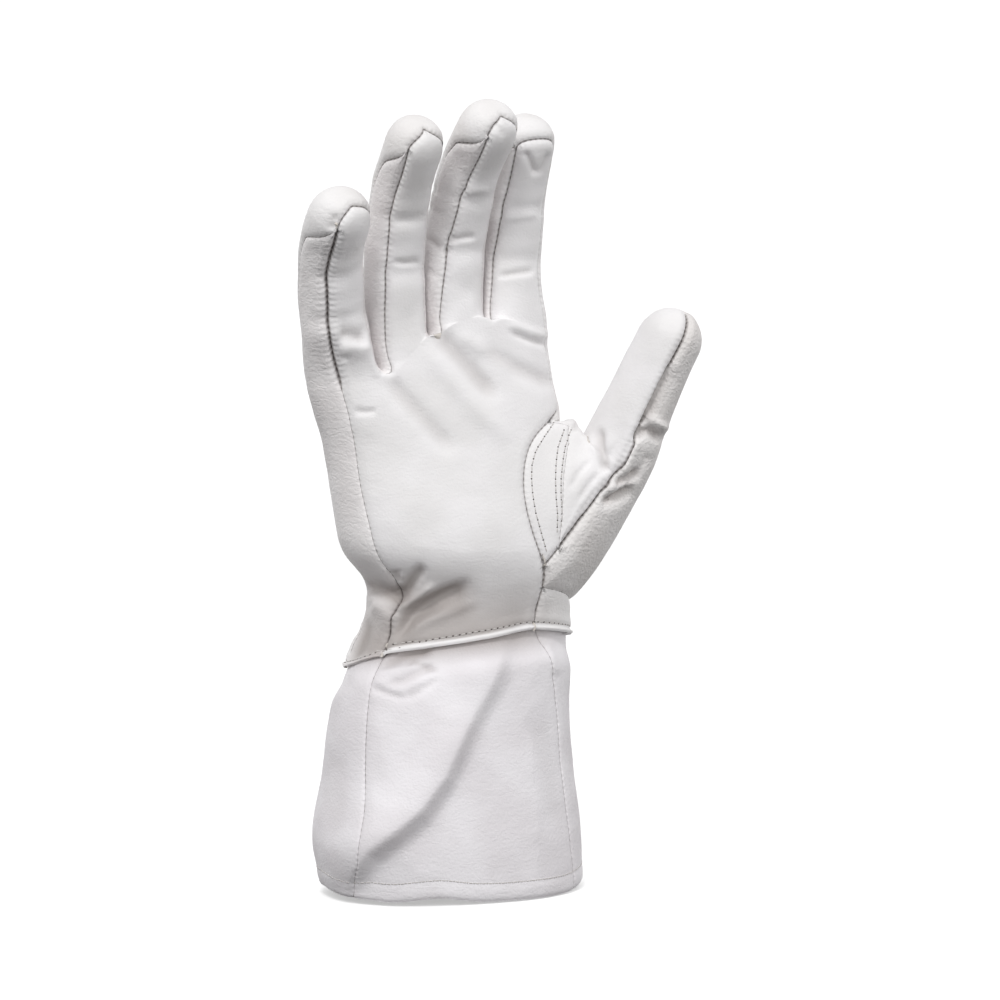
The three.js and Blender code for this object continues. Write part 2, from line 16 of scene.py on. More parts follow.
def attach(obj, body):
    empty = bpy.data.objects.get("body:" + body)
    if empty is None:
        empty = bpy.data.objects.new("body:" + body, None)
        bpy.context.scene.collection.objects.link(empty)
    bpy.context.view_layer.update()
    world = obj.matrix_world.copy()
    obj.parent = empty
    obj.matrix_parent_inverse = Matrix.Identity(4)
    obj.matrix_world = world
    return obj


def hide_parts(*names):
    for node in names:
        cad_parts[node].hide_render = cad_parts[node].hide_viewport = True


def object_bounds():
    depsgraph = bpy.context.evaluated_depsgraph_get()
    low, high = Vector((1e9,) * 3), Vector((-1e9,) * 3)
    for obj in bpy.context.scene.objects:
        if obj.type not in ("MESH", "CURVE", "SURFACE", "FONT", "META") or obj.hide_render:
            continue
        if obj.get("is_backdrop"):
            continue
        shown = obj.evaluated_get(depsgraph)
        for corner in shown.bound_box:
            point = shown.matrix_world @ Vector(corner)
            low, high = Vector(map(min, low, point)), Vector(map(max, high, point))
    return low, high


bl_info = {
    "name": "Leather Gauntlet Glove",
    "version": (1, 0, 0),
    "blender": (4, 5, 0),
    "location": "View3D > Sidebar > Glove",
    "description": "Builds a leather gauntlet glove with its stitching, and a studio stage",
    "category": "Add Mesh",
}

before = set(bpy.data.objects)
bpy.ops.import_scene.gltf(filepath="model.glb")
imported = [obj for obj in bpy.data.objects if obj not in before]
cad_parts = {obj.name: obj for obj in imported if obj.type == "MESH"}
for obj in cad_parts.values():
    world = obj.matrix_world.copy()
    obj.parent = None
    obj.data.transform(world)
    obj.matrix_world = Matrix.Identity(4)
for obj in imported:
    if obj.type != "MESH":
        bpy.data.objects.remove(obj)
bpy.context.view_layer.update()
MM = 0.001

# Driving dimensions of the glove, in mm and degrees, as in the solids. The hand has 14 rows
# from the wrist up. The thumb hole takes rows 2 to 10, reaches a twelfth of the way over the
# back, and its lower end dips towards the wrist
ROWS = 14
HOLE_LOW, HOLE_HIGH, HOLE_BACK = 2 / ROWS, 10 / ROWS, 1 / 12
HOLE_DIP = 6.0
# How far the cuff reaches up under the hand leather, how far it is set in there, and where
# the set-in starts below the lap
LAP, LAP_STEP, LAP_EASE = 7.0, 1.9, 14.0
# Exponent of the cross sections, 2 for an ellipse, and the angle where thumb side meets back
SQUARENESS = 2.25
WRAP = -32.0
# Height over which a finger's root becomes round, and the length of a tip in finger widths
ROOT = 26.0
TIP = 1.05
# Creases at the finger joints: place along the finger, depth, half width
CREASES = ((0.33, 1.0, 4.0), (0.58, 0.9, 3.5))
# Free thumb: its length, its rounded tip, the way its pad faces and its turn up to the tip
THUMB_LENGTH = 63.0
THUMB_TIP = 13.0
THUMB_PAD = np.array([-0.80, -0.55, 0.25])
THUMB_TURN = -12.0
# First band of the thumb root: its share behind the thumb, and the width of the crescent from
# its lower end to its upper one
ROOT_ROW = 0.36
CRESCENT = (4, 10, 15, 18, 19.2, 19.4, 18.6, 16.5, 9)

# The camera of the photograph: azimuth and elevation in degrees, distance and aim in mm,
# focal length in pixels of the 1000 pixel frame
VIEW_AZIMUTH, VIEW_ELEVATION = -20.0, 4.0
VIEW_DISTANCE, FOCAL = 1400.0, 3500.0
AIM = np.array([22.0, 0.0, 150.0])


def rad(degrees):
    return np.asarray(degrees) * math.pi / 180


def lerp(a, b, t):
    return a + (b - a) * t


def smooth(x):
    t = np.clip(x, 0, 1)
    return t * t * (3 - 2 * t)


def bump(x):
    return np.exp(-np.square(x))


def unit(v):
    return v / np.maximum(np.linalg.norm(v, axis=-1, keepdims=True), 1e-9)


def point(x, y, z):
    """Points from arrays or numbers, stretched to one shape."""
    return np.stack(np.broadcast_arrays(x, y, z), axis=-1).astype(float)


def table(columns, rows):
    """Reads a table with named columns along a smooth curve. The first column is the key."""
    rows = np.array(rows, float)
    last = len(rows) - 1
    before = rows[[0, *range(last)]]
    after = rows[[*range(1, last + 1), last]]
    slopes = (after - before) / (after[:, :1] - before[:, :1])

    def read(key):
        k = np.clip(np.asarray(key, float), rows[0, 0], rows[-1, 0])
        i = np.clip(np.searchsorted(rows[:, 0], k, side="right") - 1, 0, last - 1)
        h = rows[i + 1, 0] - rows[i, 0]
        t = (k - rows[i, 0]) / h
        a, b = 2 * t**3 - 3 * t**2 + 1, (t**3 - 2 * t**2 + t) * h
        c, d = -2 * t**3 + 3 * t**2, (t**3 - t**2) * h
        return {
            name: a * rows[i, n] + b * slopes[i, n] + c * rows[i + 1, n] + d * slopes[i + 1, n]
            for n, name in enumerate(columns)
        }

    return read


# Sections of cuff, wrist and palm by height: middle, half width, depth to palm and back
BODY = table(("z", "cx", "half", "palm", "back"), (
    (0, 1.6, 53.1, 38, 36), (18, -0.4, 54.6, 37, 35), (42, -0.2, 51.5, 34, 32),
    (66, 0.8, 48.9, 31, 29.5), (90, 4.7, 46.0, 28, 27.5), (108, 8.1, 42.6, 26, 25.5),
    (120, 7.9, 42.4, 26, 24.5), (132, 4.0, 45.7, 26, 23.5), (144, 2.0, 47.2, 25.5, 22.5),
    (156, 0.4, 48.4, 24.5, 21.5), (174, -2.3, 49.6, 22.5, 19.5), (186, -5.0, 50.9, 21, 18),
    (198, -8.2, 51.4, 19, 17), (210, -10.5, 51.7, 17.5, 16), (226, -11.5, 51.7, 16.5, 15.5),
))
# Angles of the seams of the hand by height: at the thumb side, and both of the side strip
SEAMS = table(("z", "thumb", "little", "strip"), (
    (84, 60, 149, 198), (104, 60.5, 149.5, 200), (113, 59.5, 147, 201), (121, 58, 146, 202),
    (131, 60, 144, 203), (141, 63.5, 144, 204), (151, 65, 145, 205), (159, 64, 145.5, 205),
    (168, 60, 145, 204), (175.5, 52.5, 144, 203), (181.5, 38, 143, 202), (186, 18, 142, 200),
    (195, 13, 141.5, 198), (221, 18, 141, 196),
))
# Smoother line than the seam at the thumb side, which the columns of the palm follow
CALM = table(("z", "thumb"), (
    (84, 57), (108, 57), (140, 51), (165, 40), (185, 27), (200, 19), (226, 18),
))
# Height of the edge of the hand leather round the wrist
WRIST = table(("angle", "z"), (
    (-180, 87.1), (-164, 84.2), (-120, 87), (-60, 91), (-32, 93), (12, 95), (52, 100),
    (100, 96), (153, 92), (180, 87.1),
))
# Upper edge of palm and back, from the little finger side to the thumb side
CELLS = table(("u", "palm_angle", "palm_z", "back_angle", "back_z"), (
    (0, 142, 196, -164, 194), (0.25, 110, 202.5, -124, 199), (0.5, 89, 218.5, -93, 214),
    (0.75, 64.5, 223.5, -66, 219), (1, 18, 215, -32, 212),
))
LITTLE_TOP, THUMB_TOP = CELLS(0), CELLS(1)
# Angles of the two seams of the cuff, and the height of its hem
CUFF_SEAMS = table(("z", "thumb", "little"), (
    (-4, 38, 153), (3, 38.5, 149), (12, 39.5, 142), (28, 40, 139.5), (48, 40, 143),
    (64, 41, 145), (75, 44.5, 147), (86, 50, 148.5), (96, 55, 149), (109, 60, 149),
))
HEM = table(("angle", "z"), (
    (-180, -1.5), (-135, -2.5), (-90, -1), (-45, -2.8), (0, -2.4), (28, -3.6), (48, -5),
    (70, -5), (90, -4.6), (106, -2.6), (128, -4), (140, -3.6), (160, -3), (180, -1.5),
))
# Fingers: root, lean and twist in degrees, length, half width, half depth, bends in degrees,
# shift of the seam on the little finger side below and above, and leaf as told below
FINGERS = (
    dict(name="little", base=(-46.5, -8, 198), lean=-11.5, twist=9, length=83.5,
         width=13.4, depth=12.6, bends=(8, 18, 22), seam=(-4, 12), leaf=(0.42, 0.94, 2.2)),
    dict(name="ring", base=(-24, -4, 210), lean=-3, twist=5, length=99,
         width=12.3, depth=12, bends=(8, 16, 20), seam=(0, 17), leaf=(0.46, 0.985, 2.0)),
    dict(name="middle", base=(-0.3, -1.6, 219), lean=0.5, twist=6.5, length=98.5,
         width=12.6, depth=12, bends=(9, 18, 22), seam=(0, 4), leaf=(0.46, 0.975, 2.4)),
    dict(name="index", base=(25, -0.6, 217), lean=2, twist=-1, length=88.5,
         width=12.3, depth=12, bends=(2, 10, 16), seam=(18, 18), leaf=(0.22, 0.62, 2.0)),
)
# On a finger's rounded tip, from 0 to 1: the row where the palm leather ends in a leaf, and
# where the side strips start to taper. A finger's leaf has the ends of that row at its sides
# and in its middle, and the exponent of its arch
LEAF_ROW = 0.52
TAPER_START = -0.5
# Angles of the seams round a finger by the share of its length
FINGER_SEAMS = table(("s", "radial_palm", "ulnar_palm", "ulnar_back", "radial_back"), (
    (0, 40, 136, 207, 332), (0.35, 34, 127, 200, 338), (0.7, 28, 111, 190, 346),
    (0.88, 24, 110, 166, 354), (1, 22, 118, 152, 358),
))
# Sections of the free thumb, and the angles of its columns, of which there are 26
THUMB = table(("t", "x", "y", "z", "width", "depth"), (
    (0, 67.5, -12, 168, 16.5, 14.5), (0.5, 78.2, -19, 196.5, 13.8, 13),
    (1, 91, -25, 225.6, 12.8, 12),
))
THUMB_ANGLES = table(("column", "angle"), (
    (0, 26), (1, 44), (8, 112), (13, 175), (21, 300), (26, 386),
))

# Large folds of the parts that the photograph doesn't show: side, 1 for the palm side and -1
# for the back, ends of the fold line in X and Z, half width, depth into the surface
BODY_FOLDS = (
    (1, (46, 60), (178, 170), 5, -1.2),
    (-1, (-34, 40), (104, 112), 7, 1.8),
    (-1, (-30, 26), (122, 124), 7, -1.2),
    (-1, (30, -30), (78, 34), 10, 2.0),
    (-1, (-38, 4), (66, 24), 9, -1.5),
    (-1, (-44, -12), (98, 100), 3, 0.9),
    (-1, (2, 42), (102, 99), 3, 0.9),
    (-1, (-26, 10), (112, 115), 2.5, 0.7),
    (-1, (14, 44), (120, 116), 3, 0.8),
    (-1, (-30, -6), (214, 222), 3, -0.8),
    (-1, (-8, 24), (224, 226), 3, -0.8),
    (-1, (-46, -40), (250, 252), 2.5, 0.6),
    (-1, (-32, -20), (262, 262), 2.5, 0.6),
    (-1, (-8, 8), (270, 269), 2.5, 0.6),
    (-1, (20, 34), (268, 266), 2.5, 0.6),
)

# Folds that the photograph shows: line in its frame of 1000 pixels, two half widths, depth.
# The first width is to the left of a line that runs down, and below a line that runs right.
# Widths and depth are in mm, and a negative depth is a ridge
PICTURE_FOLDS = (
    # palm below the fingers
    (((508, 331), (528, 339), (550, 346)), 1.4, 0.9, 1.3),
    (((504, 322), (530, 332), (552, 338)), 1.4, 2.2, -0.9),
    (((476, 346), (515, 366), (564, 388)), 3.8, 3.0, 1.5),
    (((428, 322), (462, 358), (504, 404)), 4.0, 3.0, 2.1),
    (((416, 336), (452, 382), (512, 446)), 4.0, 4.0, -1.5),
    (((380, 370), (412, 404), (462, 458)), 4.2, 3.2, 1.5),
    (((452, 330), (480, 348), (520, 378)), 3.0, 3.0, -1.0),
    (((353, 410), (364, 412), (378, 411)), 1.2, 1.0, 0.9),
    (((336, 337), (350, 336), (368, 341)), 1.8, 5.0, 1.9),
    (((336, 350), (352, 347), (374, 348)), 4.5, 1.6, -1.2),
    (((339, 358), (344, 357), (350, 358)), 1.0, 1.0, 0.9),
    # finger creases
    (((390, 262), (404, 264), (424, 262)), 1.0, 1.8, 1.2),
    (((390, 222), (410, 221), (428, 218)), 1.6, 2.5, 0.6),
    (((494, 277), (515, 274), (538, 271)), 1.0, 1.8, 1.3),
    (((500, 220), (520, 217), (540, 215)), 1.2, 2.6, -1.0),
    (((445, 242), (462, 239), (478, 237)), 1.0, 1.8, 1.2),
    (((443, 254), (447, 251), (453, 249)), 1.0, 1.0, 0.8),
    (((462, 193), (476, 191), (490, 189)), 1.2, 2.6, -0.8),
    (((424, 237), (432, 243), (441, 250)), 1.0, 1.6, 1.4),
    (((428, 186), (434, 190), (440, 196)), 0.9, 1.4, 0.7),
    (((426, 206), (433, 211), (440, 217)), 0.9, 1.4, 0.7),
    (((425, 268), (431, 273), (438, 279)), 1.0, 1.4, 0.5),
    (((336, 212), (333, 220), (331, 232)), 1.5, 1.7, 1.2),
    (((524, 149), (530, 160), (537, 177)), 1.3, 1.0, 1.5),
    (((550, 151), (545, 162), (538, 176)), 1.0, 1.3, 1.2),
    (((494, 122), (500, 130), (504, 137)), 1.2, 1.2, 0.7),
    # thumb
    (((599, 424), (602, 450), (609, 476)), 2.6, 1.8, 2.4),
    (((575, 434), (596, 452), (616, 470)), 1.6, 1.8, -1.4),
    (((590, 420), (578, 424), (571, 434)), 1.4, 1.4, 1.2),
    (((674, 362), (654, 402), (640, 430)), 1.2, 3.4, 2.4),
    (((642, 413), (656, 422), (670, 431)), 1.5, 1.5, -1.6),
    (((632, 434), (650, 431), (668, 441)), 2.2, 1.8, 3.0),
    (((640, 436), (630, 457), (621, 477)), 1.7, 1.7, -1.5),
    (((612, 484), (627, 480), (642, 470)), 1.8, 1.8, 3.0),
    (((602, 488), (620, 486), (638, 484)), 1.2, 1.2, -1.3),
    (((598, 502), (616, 497), (638, 486)), 2.4, 1.6, 3.8),
    (((652, 452), (642, 466), (634, 480)), 2.0, 2.0, 1.0),
    (((600, 470), (588, 486), (576, 504)), 1.4, 1.4, 0.7),
    (((592, 458), (578, 474), (568, 492)), 1.4, 1.4, 0.6),
    (((598, 484), (588, 500), (576, 516)), 1.4, 1.4, 0.6),
    # wrist on the little finger side
    (((300, 526), (440, 546), (620, 556)), 13.0, 26.0, -3.6),
    (((300, 650), (440, 642), (590, 624)), 7.0, 17.0, 4.6),
    (((372, 600), (420, 602), (490, 604)), 6.0, 9.0, 2.2),
    (((348, 584), (374, 592), (402, 601)), 1.8, 3.8, 3.6),
    (((368, 601), (380, 610), (394, 622)), 4.0, 3.0, -1.8),
    (((394, 568), (396, 576), (399, 584)), 2.2, 2.2, 1.8),
    (((404, 573), (400, 579), (394, 585)), 1.2, 1.2, -0.9),
    (((426, 562), (408, 585), (394, 604)), 2.2, 2.4, 2.8),
    (((438, 583), (420, 597), (390, 612)), 1.8, 1.8, -1.7),
    (((476, 580), (440, 598), (410, 615), (388, 640)), 2.6, 3.4, 3.4),
    (((486, 600), (426, 620), (392, 641)), 2.2, 2.4, -1.2),
    (((362, 614), (356, 634), (344, 662)), 3.0, 2.0, 1.4),
    (((374, 640), (362, 660), (352, 690)), 3.0, 3.0, -0.8),
    # cuff
    (((374, 668), (400, 657), (438, 648)), 2.4, 1.6, 1.5),
    (((402, 665), (414, 661), (442, 674)), 1.3, 1.0, 1.0),
    (((382, 685), (404, 680), (440, 662)), 2.0, 1.6, 1.3),
    (((372, 672), (404, 668), (440, 658)), 1.5, 1.5, -0.7),
    (((366, 684), (384, 692), (408, 700)), 1.6, 1.4, 0.9),
    (((400, 700), (418, 692), (442, 676)), 1.8, 1.6, 0.8),
    (((520, 600), (486, 684), (460, 730), (441, 776), (418, 809), (394, 830), (370, 848),
      (350, 880), (340, 920)), 17.0, 5.0, -4.4),
    (((476, 700), (460, 730), (441, 776), (418, 811), (394, 833), (368, 852), (342, 900)),
     9.0, 4.4, -2.4),
    (((536, 700), (548, 760), (560, 846)), 6.0, 6.0, 0.9),
    (((545, 637), (549, 650), (556, 678)), 1.6, 2.6, -1.0),
    (((338, 740), (334, 790), (340, 850)), 6.0, 6.0, 0.9),
)

# Camera axes: towards the camera, to its right, and up
_a, _e = math.radians(VIEW_AZIMUTH), math.radians(VIEW_ELEVATION)
TO_CAMERA = np.array([math.sin(_a) * math.cos(_e), -math.cos(_a) * math.cos(_e), math.sin(_e)])
RIGHT = np.array([math.cos(_a), math.sin(_a), 0.0])
UP = np.cross(TO_CAMERA, RIGHT)


def section(z, angle):
    """Surface of cuff and hand: 0 at the thumb side, 90 on the palm, 180 at the little finger."""
    row = BODY(z)
    c, s = np.cos(rad(angle)), np.sin(rad(angle))
    across = np.sign(c) * np.abs(c) ** (2 / SQUARENESS)
    out = np.sign(s) * np.abs(s) ** (2 / SQUARENESS)
    arch = smooth((z - 161) / 50)
    bend = arch * (4.5 * np.clip(-across, 0, 1) ** 2 + 1.5 * np.clip(across, 0, 1) ** 2)
    depth = np.where(s > 0, row["palm"], row["back"])
    return point(row["cx"] + row["half"] * across, -depth * out - bend, z)


def turned(angle):
    """The same angle between -180 and 180."""
    return (np.asarray(angle) + 180) % 360 - 180


def wrist_z(angle):
    """Height of the edge of the hand leather."""
    return WRIST(turned(angle))["z"]


def dip(v, share):
    """How far the rows under the thumb hole are pulled down."""
    return HOLE_DIP * bump((v - HOLE_LOW) / 0.11) * smooth(share)


def palm(u, v):
    """Palm, u from the little finger side to the thumb side, v from the wrist up."""
    top = CELLS(u)
    z = lerp(wrist_z(lerp(152, 53, u)), top["palm_z"], v)
    seam, calm = SEAMS(z), CALM(z)["thumb"]
    even = lerp(seam["little"], calm, u)
    fanned = top["palm_angle"] + lerp(
        seam["little"] - LITTLE_TOP["palm_angle"], calm - THUMB_TOP["palm_angle"], u)
    return section(z, lerp(even, fanned, smooth((v - 0.25) / 0.75)) + (seam["thumb"] - calm) * u**4)


def back_of_hand(u, v):
    """Back, u from the thumb side to the little finger side."""
    top = CELLS(1 - u)
    z = lerp(wrist_z(lerp(WRAP, -164, u)), top["back_z"], v) - dip(v, 1 - u / 0.35)
    seam = SEAMS(z)
    even = lerp(WRAP, seam["strip"] - 360, u)
    fanned = top["back_angle"] + (seam["strip"] - 360 - LITTLE_TOP["back_angle"]) * u
    return section(z, lerp(even, fanned, smooth((v - 0.25) / 0.75)))


def little_side(u, v):
    """Little finger side, u from the palm seam to the back seam."""
    z = lerp(lerp(wrist_z(152), wrist_z(-164), u),
             lerp(LITTLE_TOP["palm_z"], LITTLE_TOP["back_z"], u), v)
    seam = SEAMS(z)
    return section(z, lerp(seam["little"], seam["strip"], u))


def thumb_side(u, v):
    """Thumb side, u from the palm seam to the back."""
    z = lerp(lerp(wrist_z(53), wrist_z(WRAP), u),
             lerp(THUMB_TOP["palm_z"], THUMB_TOP["back_z"], u), v) - dip(v, u)
    return section(z, lerp(SEAMS(z)["thumb"], WRAP, u))


class CentreLine:
    """Curled centre line of one finger."""

    STEPS = 80

    def __init__(self, base, lean, twist, length, bends, **_):
        self.length, self.bends, self.step = length, bends, length / self.STEPS
        self.up = np.array([math.sin(rad(lean)), 0, math.cos(rad(lean))])
        pad = np.array([math.sin(rad(twist)), -math.cos(rad(twist)), 0])
        self.pad = unit(pad - self.up * (pad @ self.up))
        a = self.bend((np.arange(self.STEPS) + 0.5) * self.step)[:, None]
        steps = (self.up * np.cos(a) + self.pad * np.sin(a)) * self.step
        self.points = np.vstack([base, base + np.cumsum(steps, axis=0)])

    def bend(self, s):
        """How far the finger is bent at a length along it, in radians."""
        b = self.bends
        return rad(b[0] + b[1] * smooth((s / self.length - 0.30) / 0.22)
                   + b[2] * smooth((s / self.length - 0.58) / 0.22))

    def frame(self, s):
        """Centre of the finger at a length, and its front and side."""
        i = np.minimum(np.floor(s / self.step).astype(int), self.STEPS - 1)
        t = (s / self.step - i)[..., None]
        a = self.bend(s)[..., None]
        along = self.up * np.cos(a) + self.pad * np.sin(a)
        front = self.pad * np.cos(a) - self.up * np.sin(a)
        return lerp(self.points[i], self.points[i + 1], t), front, np.cross(along, front)


LINES = [CentreLine(**finger) for finger in FINGERS]


def tip_share(f, s):
    """Place along the rounded tip of a finger, 0 where it starts and 1 at its end."""
    tip = FINGERS[f]["width"] * TIP
    return (s - (FINGERS[f]["length"] - tip)) / tip


def finger_angle(f, k, s):
    """Angle round a finger. The side strips between k 6 and 9 and from 15 on taper to a point."""
    length, seam = FINGERS[f]["length"], FINGERS[f]["seam"]
    at = FINGER_SEAMS(s / length)
    taper = smooth((tip_share(f, s) - TAPER_START) / (LEAF_ROW - TAPER_START))
    ulnar = at["ulnar_palm"] + lerp(seam[0], seam[1], smooth((s / length - 0.3) / 0.4))
    radial_back = lerp(at["radial_back"] - 360, at["radial_palm"] - 4, taper)
    ulnar_back = lerp(at["ulnar_back"] - 360, ulnar - 356, taper)
    return np.select(
        [k <= 6, k <= 9, k <= 15],
        [lerp(ulnar, at["radial_palm"], k / 6),
         lerp(at["radial_palm"], radial_back, (k - 6) / 3),
         lerp(radial_back, ulnar_back, (k - 9) / 6)],
        lerp(ulnar_back, ulnar - 360, (k - 15) / 3))


def leaf_row(f, k, s):
    """Pulls the rows of a fingertip so that the palm leather ends there in a rounded leaf."""
    low, high, power = FINGERS[f]["leaf"]
    tip = FINGERS[f]["width"] * TIP
    share = tip_share(f, s)
    arch = (1 - np.clip(np.abs(k - 3) / 3, 0, 1) ** power) ** (1 / power)
    away = smooth(np.minimum(k - 9, 15 - k) / 2)
    end = np.where(k <= 6, lerp(low, high, arch), lerp(low, LEAF_ROW, away))
    pulled = np.where(share < LEAF_ROW, share * end / LEAF_ROW,
                      1 - (1 - share) * (1 - end) / (1 - LEAF_ROW))
    return np.where(share <= 0, s, FINGERS[f]["length"] - tip + tip * pulled)


def crotch(j, t):
    """Edge between two fingers, t 0 on the palm to 1 on the back."""
    return lerp(palm(np.array(j / 4), np.array(1.0)),
                back_of_hand(np.array(1 - j / 4), np.array(1.0)), t[..., None])


def finger_root(f, k):
    """Where the columns of a finger start on the hand."""
    one = np.ones_like(k)
    radial = thumb_side((k - 6) / 3, one) if f == 3 else crotch(f + 1, (k - 6) / 3)
    ulnar = little_side(1 - (k - 15) / 3, one) if f == 0 else crotch(f, 1 - (k - 15) / 3)
    parts = (palm((f + np.clip(k / 6, 0, 1)) / 4, one), radial,
             back_of_hand(1 - (f + 1 - np.clip((k - 9) / 6, 0, 1)) / 4, one))
    where = [(k <= 6)[..., None], (k <= 9)[..., None], (k <= 15)[..., None]]
    return np.select(where, parts, ulnar)


def near_column(k, c):
    """1 at a column of a finger, 0 from two and a half columns away."""
    return smooth(1 - np.abs(k - c) / 2.5)


def finger(f, k, s):
    """Finger surface: k 0 to 18 round it from the palm's little finger side, s up in mm."""
    k, s = np.broadcast_arrays(np.mod(k, 18.0), s)
    s = leaf_row(f, k, s)
    size, line = FINGERS[f], LINES[f]
    centre, front, across = line.frame(s)
    tip = size["width"] * TIP
    cap = (1 - np.clip((s - (size["length"] - tip)) / tip, 0, 1) ** 2.5) ** 0.45
    taper = lerp(1, 0.93, smooth(s / size["length"])) * cap
    angle = rad(finger_angle(f, k, s))
    crease = sum(deep * bump((s - share * size["length"]) / half) for share, deep, half in CREASES)
    crease = crease * smooth(np.sin(angle) * 1.6)
    own = (centre + across * (size["width"] * taper * np.cos(angle))[..., None]
           + front * (size["depth"] * taper * np.sin(angle) - crease)[..., None])
    right = 0 * k if f == 3 else np.where(
        (k >= 6) & (k <= 9), 1, np.maximum(near_column(k, 6), near_column(k, 9)))
    left = 0 * k if f == 0 else np.where(
        k >= 15, 1, np.maximum(near_column(k, 0), near_column(k, 15)))
    forked = np.maximum(right, left)
    eased = smooth(s / ROOT)
    quick = np.sqrt(1 - (1 - np.clip(s / 9, 0, 1)) ** 2)
    share = lerp(eased, 0.75 * quick + 0.25 * eased, forked)[..., None]
    return lerp(finger_root(f, k) + line.up * s[..., None], own, share)


def thumb(k, x):
    """Free thumb: k 0 to 26 round it, x 0 to 1 along it."""
    k, x = np.broadcast_arrays(k, x)
    row, low, high = THUMB(x), THUMB(np.maximum(x - 0.001, 0)), THUMB(np.minimum(x + 0.001, 1))
    along = unit(point(high["x"] - low["x"], high["y"] - low["y"], high["z"] - low["z"]))
    pad = unit(THUMB_PAD - along * (along @ THUMB_PAD)[..., None])
    across = np.cross(along, pad)
    t = np.clip((x * THUMB_LENGTH - (THUMB_LENGTH - THUMB_TIP)) / THUMB_TIP, 0, 1)
    cap = np.sqrt(1 - t * t)
    angle = rad(THUMB_ANGLES(np.mod(k, 26.0))["angle"] + THUMB_TURN * x)
    return (point(row["x"], row["y"], row["z"])
            + across * (row["width"] * cap * np.cos(angle))[..., None]
            + pad * (row["depth"] * cap * np.sin(angle))[..., None])


def hole_edge(k):
    """Edge of the thumb hole: up the palm seam, over the thumb side, down the back, home."""
    k = np.mod(k, 26.0)
    high, low = np.full_like(k, HOLE_HIGH), np.full_like(k, HOLE_LOW)
    where = [(k <= 8), (k <= 11), (k <= 13), (k <= 21), (k <= 23)]
    parts = (
        palm(np.ones_like(k), lerp(low, high, np.clip(k / 8, 0, 1))),
        thumb_side((k - 8) / 3, high),
        back_of_hand((k - 11) / 24, high),
        back_of_hand(np.full_like(k, HOLE_BACK), lerp(high, low, (k - 13) / 8)),
        back_of_hand((23 - k) / 24, low),
    )
    return np.select([w[..., None] for w in where], parts, thumb_side(1 - (k - 23) / 3, low))


def thumb_root(k, t):
    """Leather between the hole and the free thumb, t 0 to 1."""
    k, t = np.broadcast_arrays(np.mod(k, 26.0), t)
    swell = np.sin(math.pi * np.clip(t, 0, 1))
    heel = np.abs(swell) ** 0.8 * bump((k - 22.5) / 3) * 4
    web = swell * bump((k - 9.5) / 1.7) * 5
    base = lerp(hole_edge(k), thumb(k, np.zeros_like(k)), t[..., None])
    return base + point(0.7 * heel + 0.3 * web, 0 * web, web - 0.7 * heel)


def crescent_share(k):
    """Share of the thumb root that its first band takes: the crescent on the palm side."""
    k = np.mod(k, 26.0)

    def crescent(c):
        width = np.interp(c, range(9), CRESCENT)
        return width / np.linalg.norm(hole_edge(c) - thumb(c, np.zeros_like(c)), axis=-1)

    first, last = crescent(np.zeros_like(k)), crescent(np.full_like(k, 8.0))
    return np.select(
        [k <= 8, k <= 16],
        [crescent(np.clip(k, 0, 8)), lerp(last, ROOT_ROW, smooth((k - 8) / 3))],
        lerp(ROOT_ROW, first, smooth((k - 16) / 10)))


def cuff_point(share, seam_a, seam_b, t):
    """Cuff surface between two seams, t across, share up from the hem."""
    share, t = np.broadcast_arrays(share, t)
    z = np.full(share.shape, 50.0)
    for _ in range(5):
        angle = lerp(seam_a(z), seam_b(z), t)
        z = lerp(HEM(turned(angle))["z"], wrist_z(angle) + LAP, share)
    here = section(z, angle)
    inward = unit(np.cross(section(z, angle + 1) - section(z, angle - 1),
                           section(z + 1, angle) - section(z - 1, angle)))
    step = LAP_STEP * smooth((z - wrist_z(angle) + LAP_EASE) / 10)
    return here + inward * step[..., None]


# Distances in mm of the extra rows beside a seam, and the depth of the turned-in hem
EDGE = (0.3, 0.75, 1.4, 2.3)
HEM_TURN = 11


def stations(length, marks, fine, cell):
    """Shares from 0 to 1 with a station at every mark, closer together next to the fine ones."""
    out = []
    for a, b in zip(marks, marks[1:]):
        near = [a + e / length for e in EDGE] if a in fine else [a]
        far = [b - e / length for e in reversed(EDGE)] if b in fine else [b]
        count = max(1, round((far[0] - near[-1]) * length / cell))
        out += [a, *near, *np.linspace(near[-1], far[0], count + 1), *far, b]
    return np.unique(np.round(out, 9))


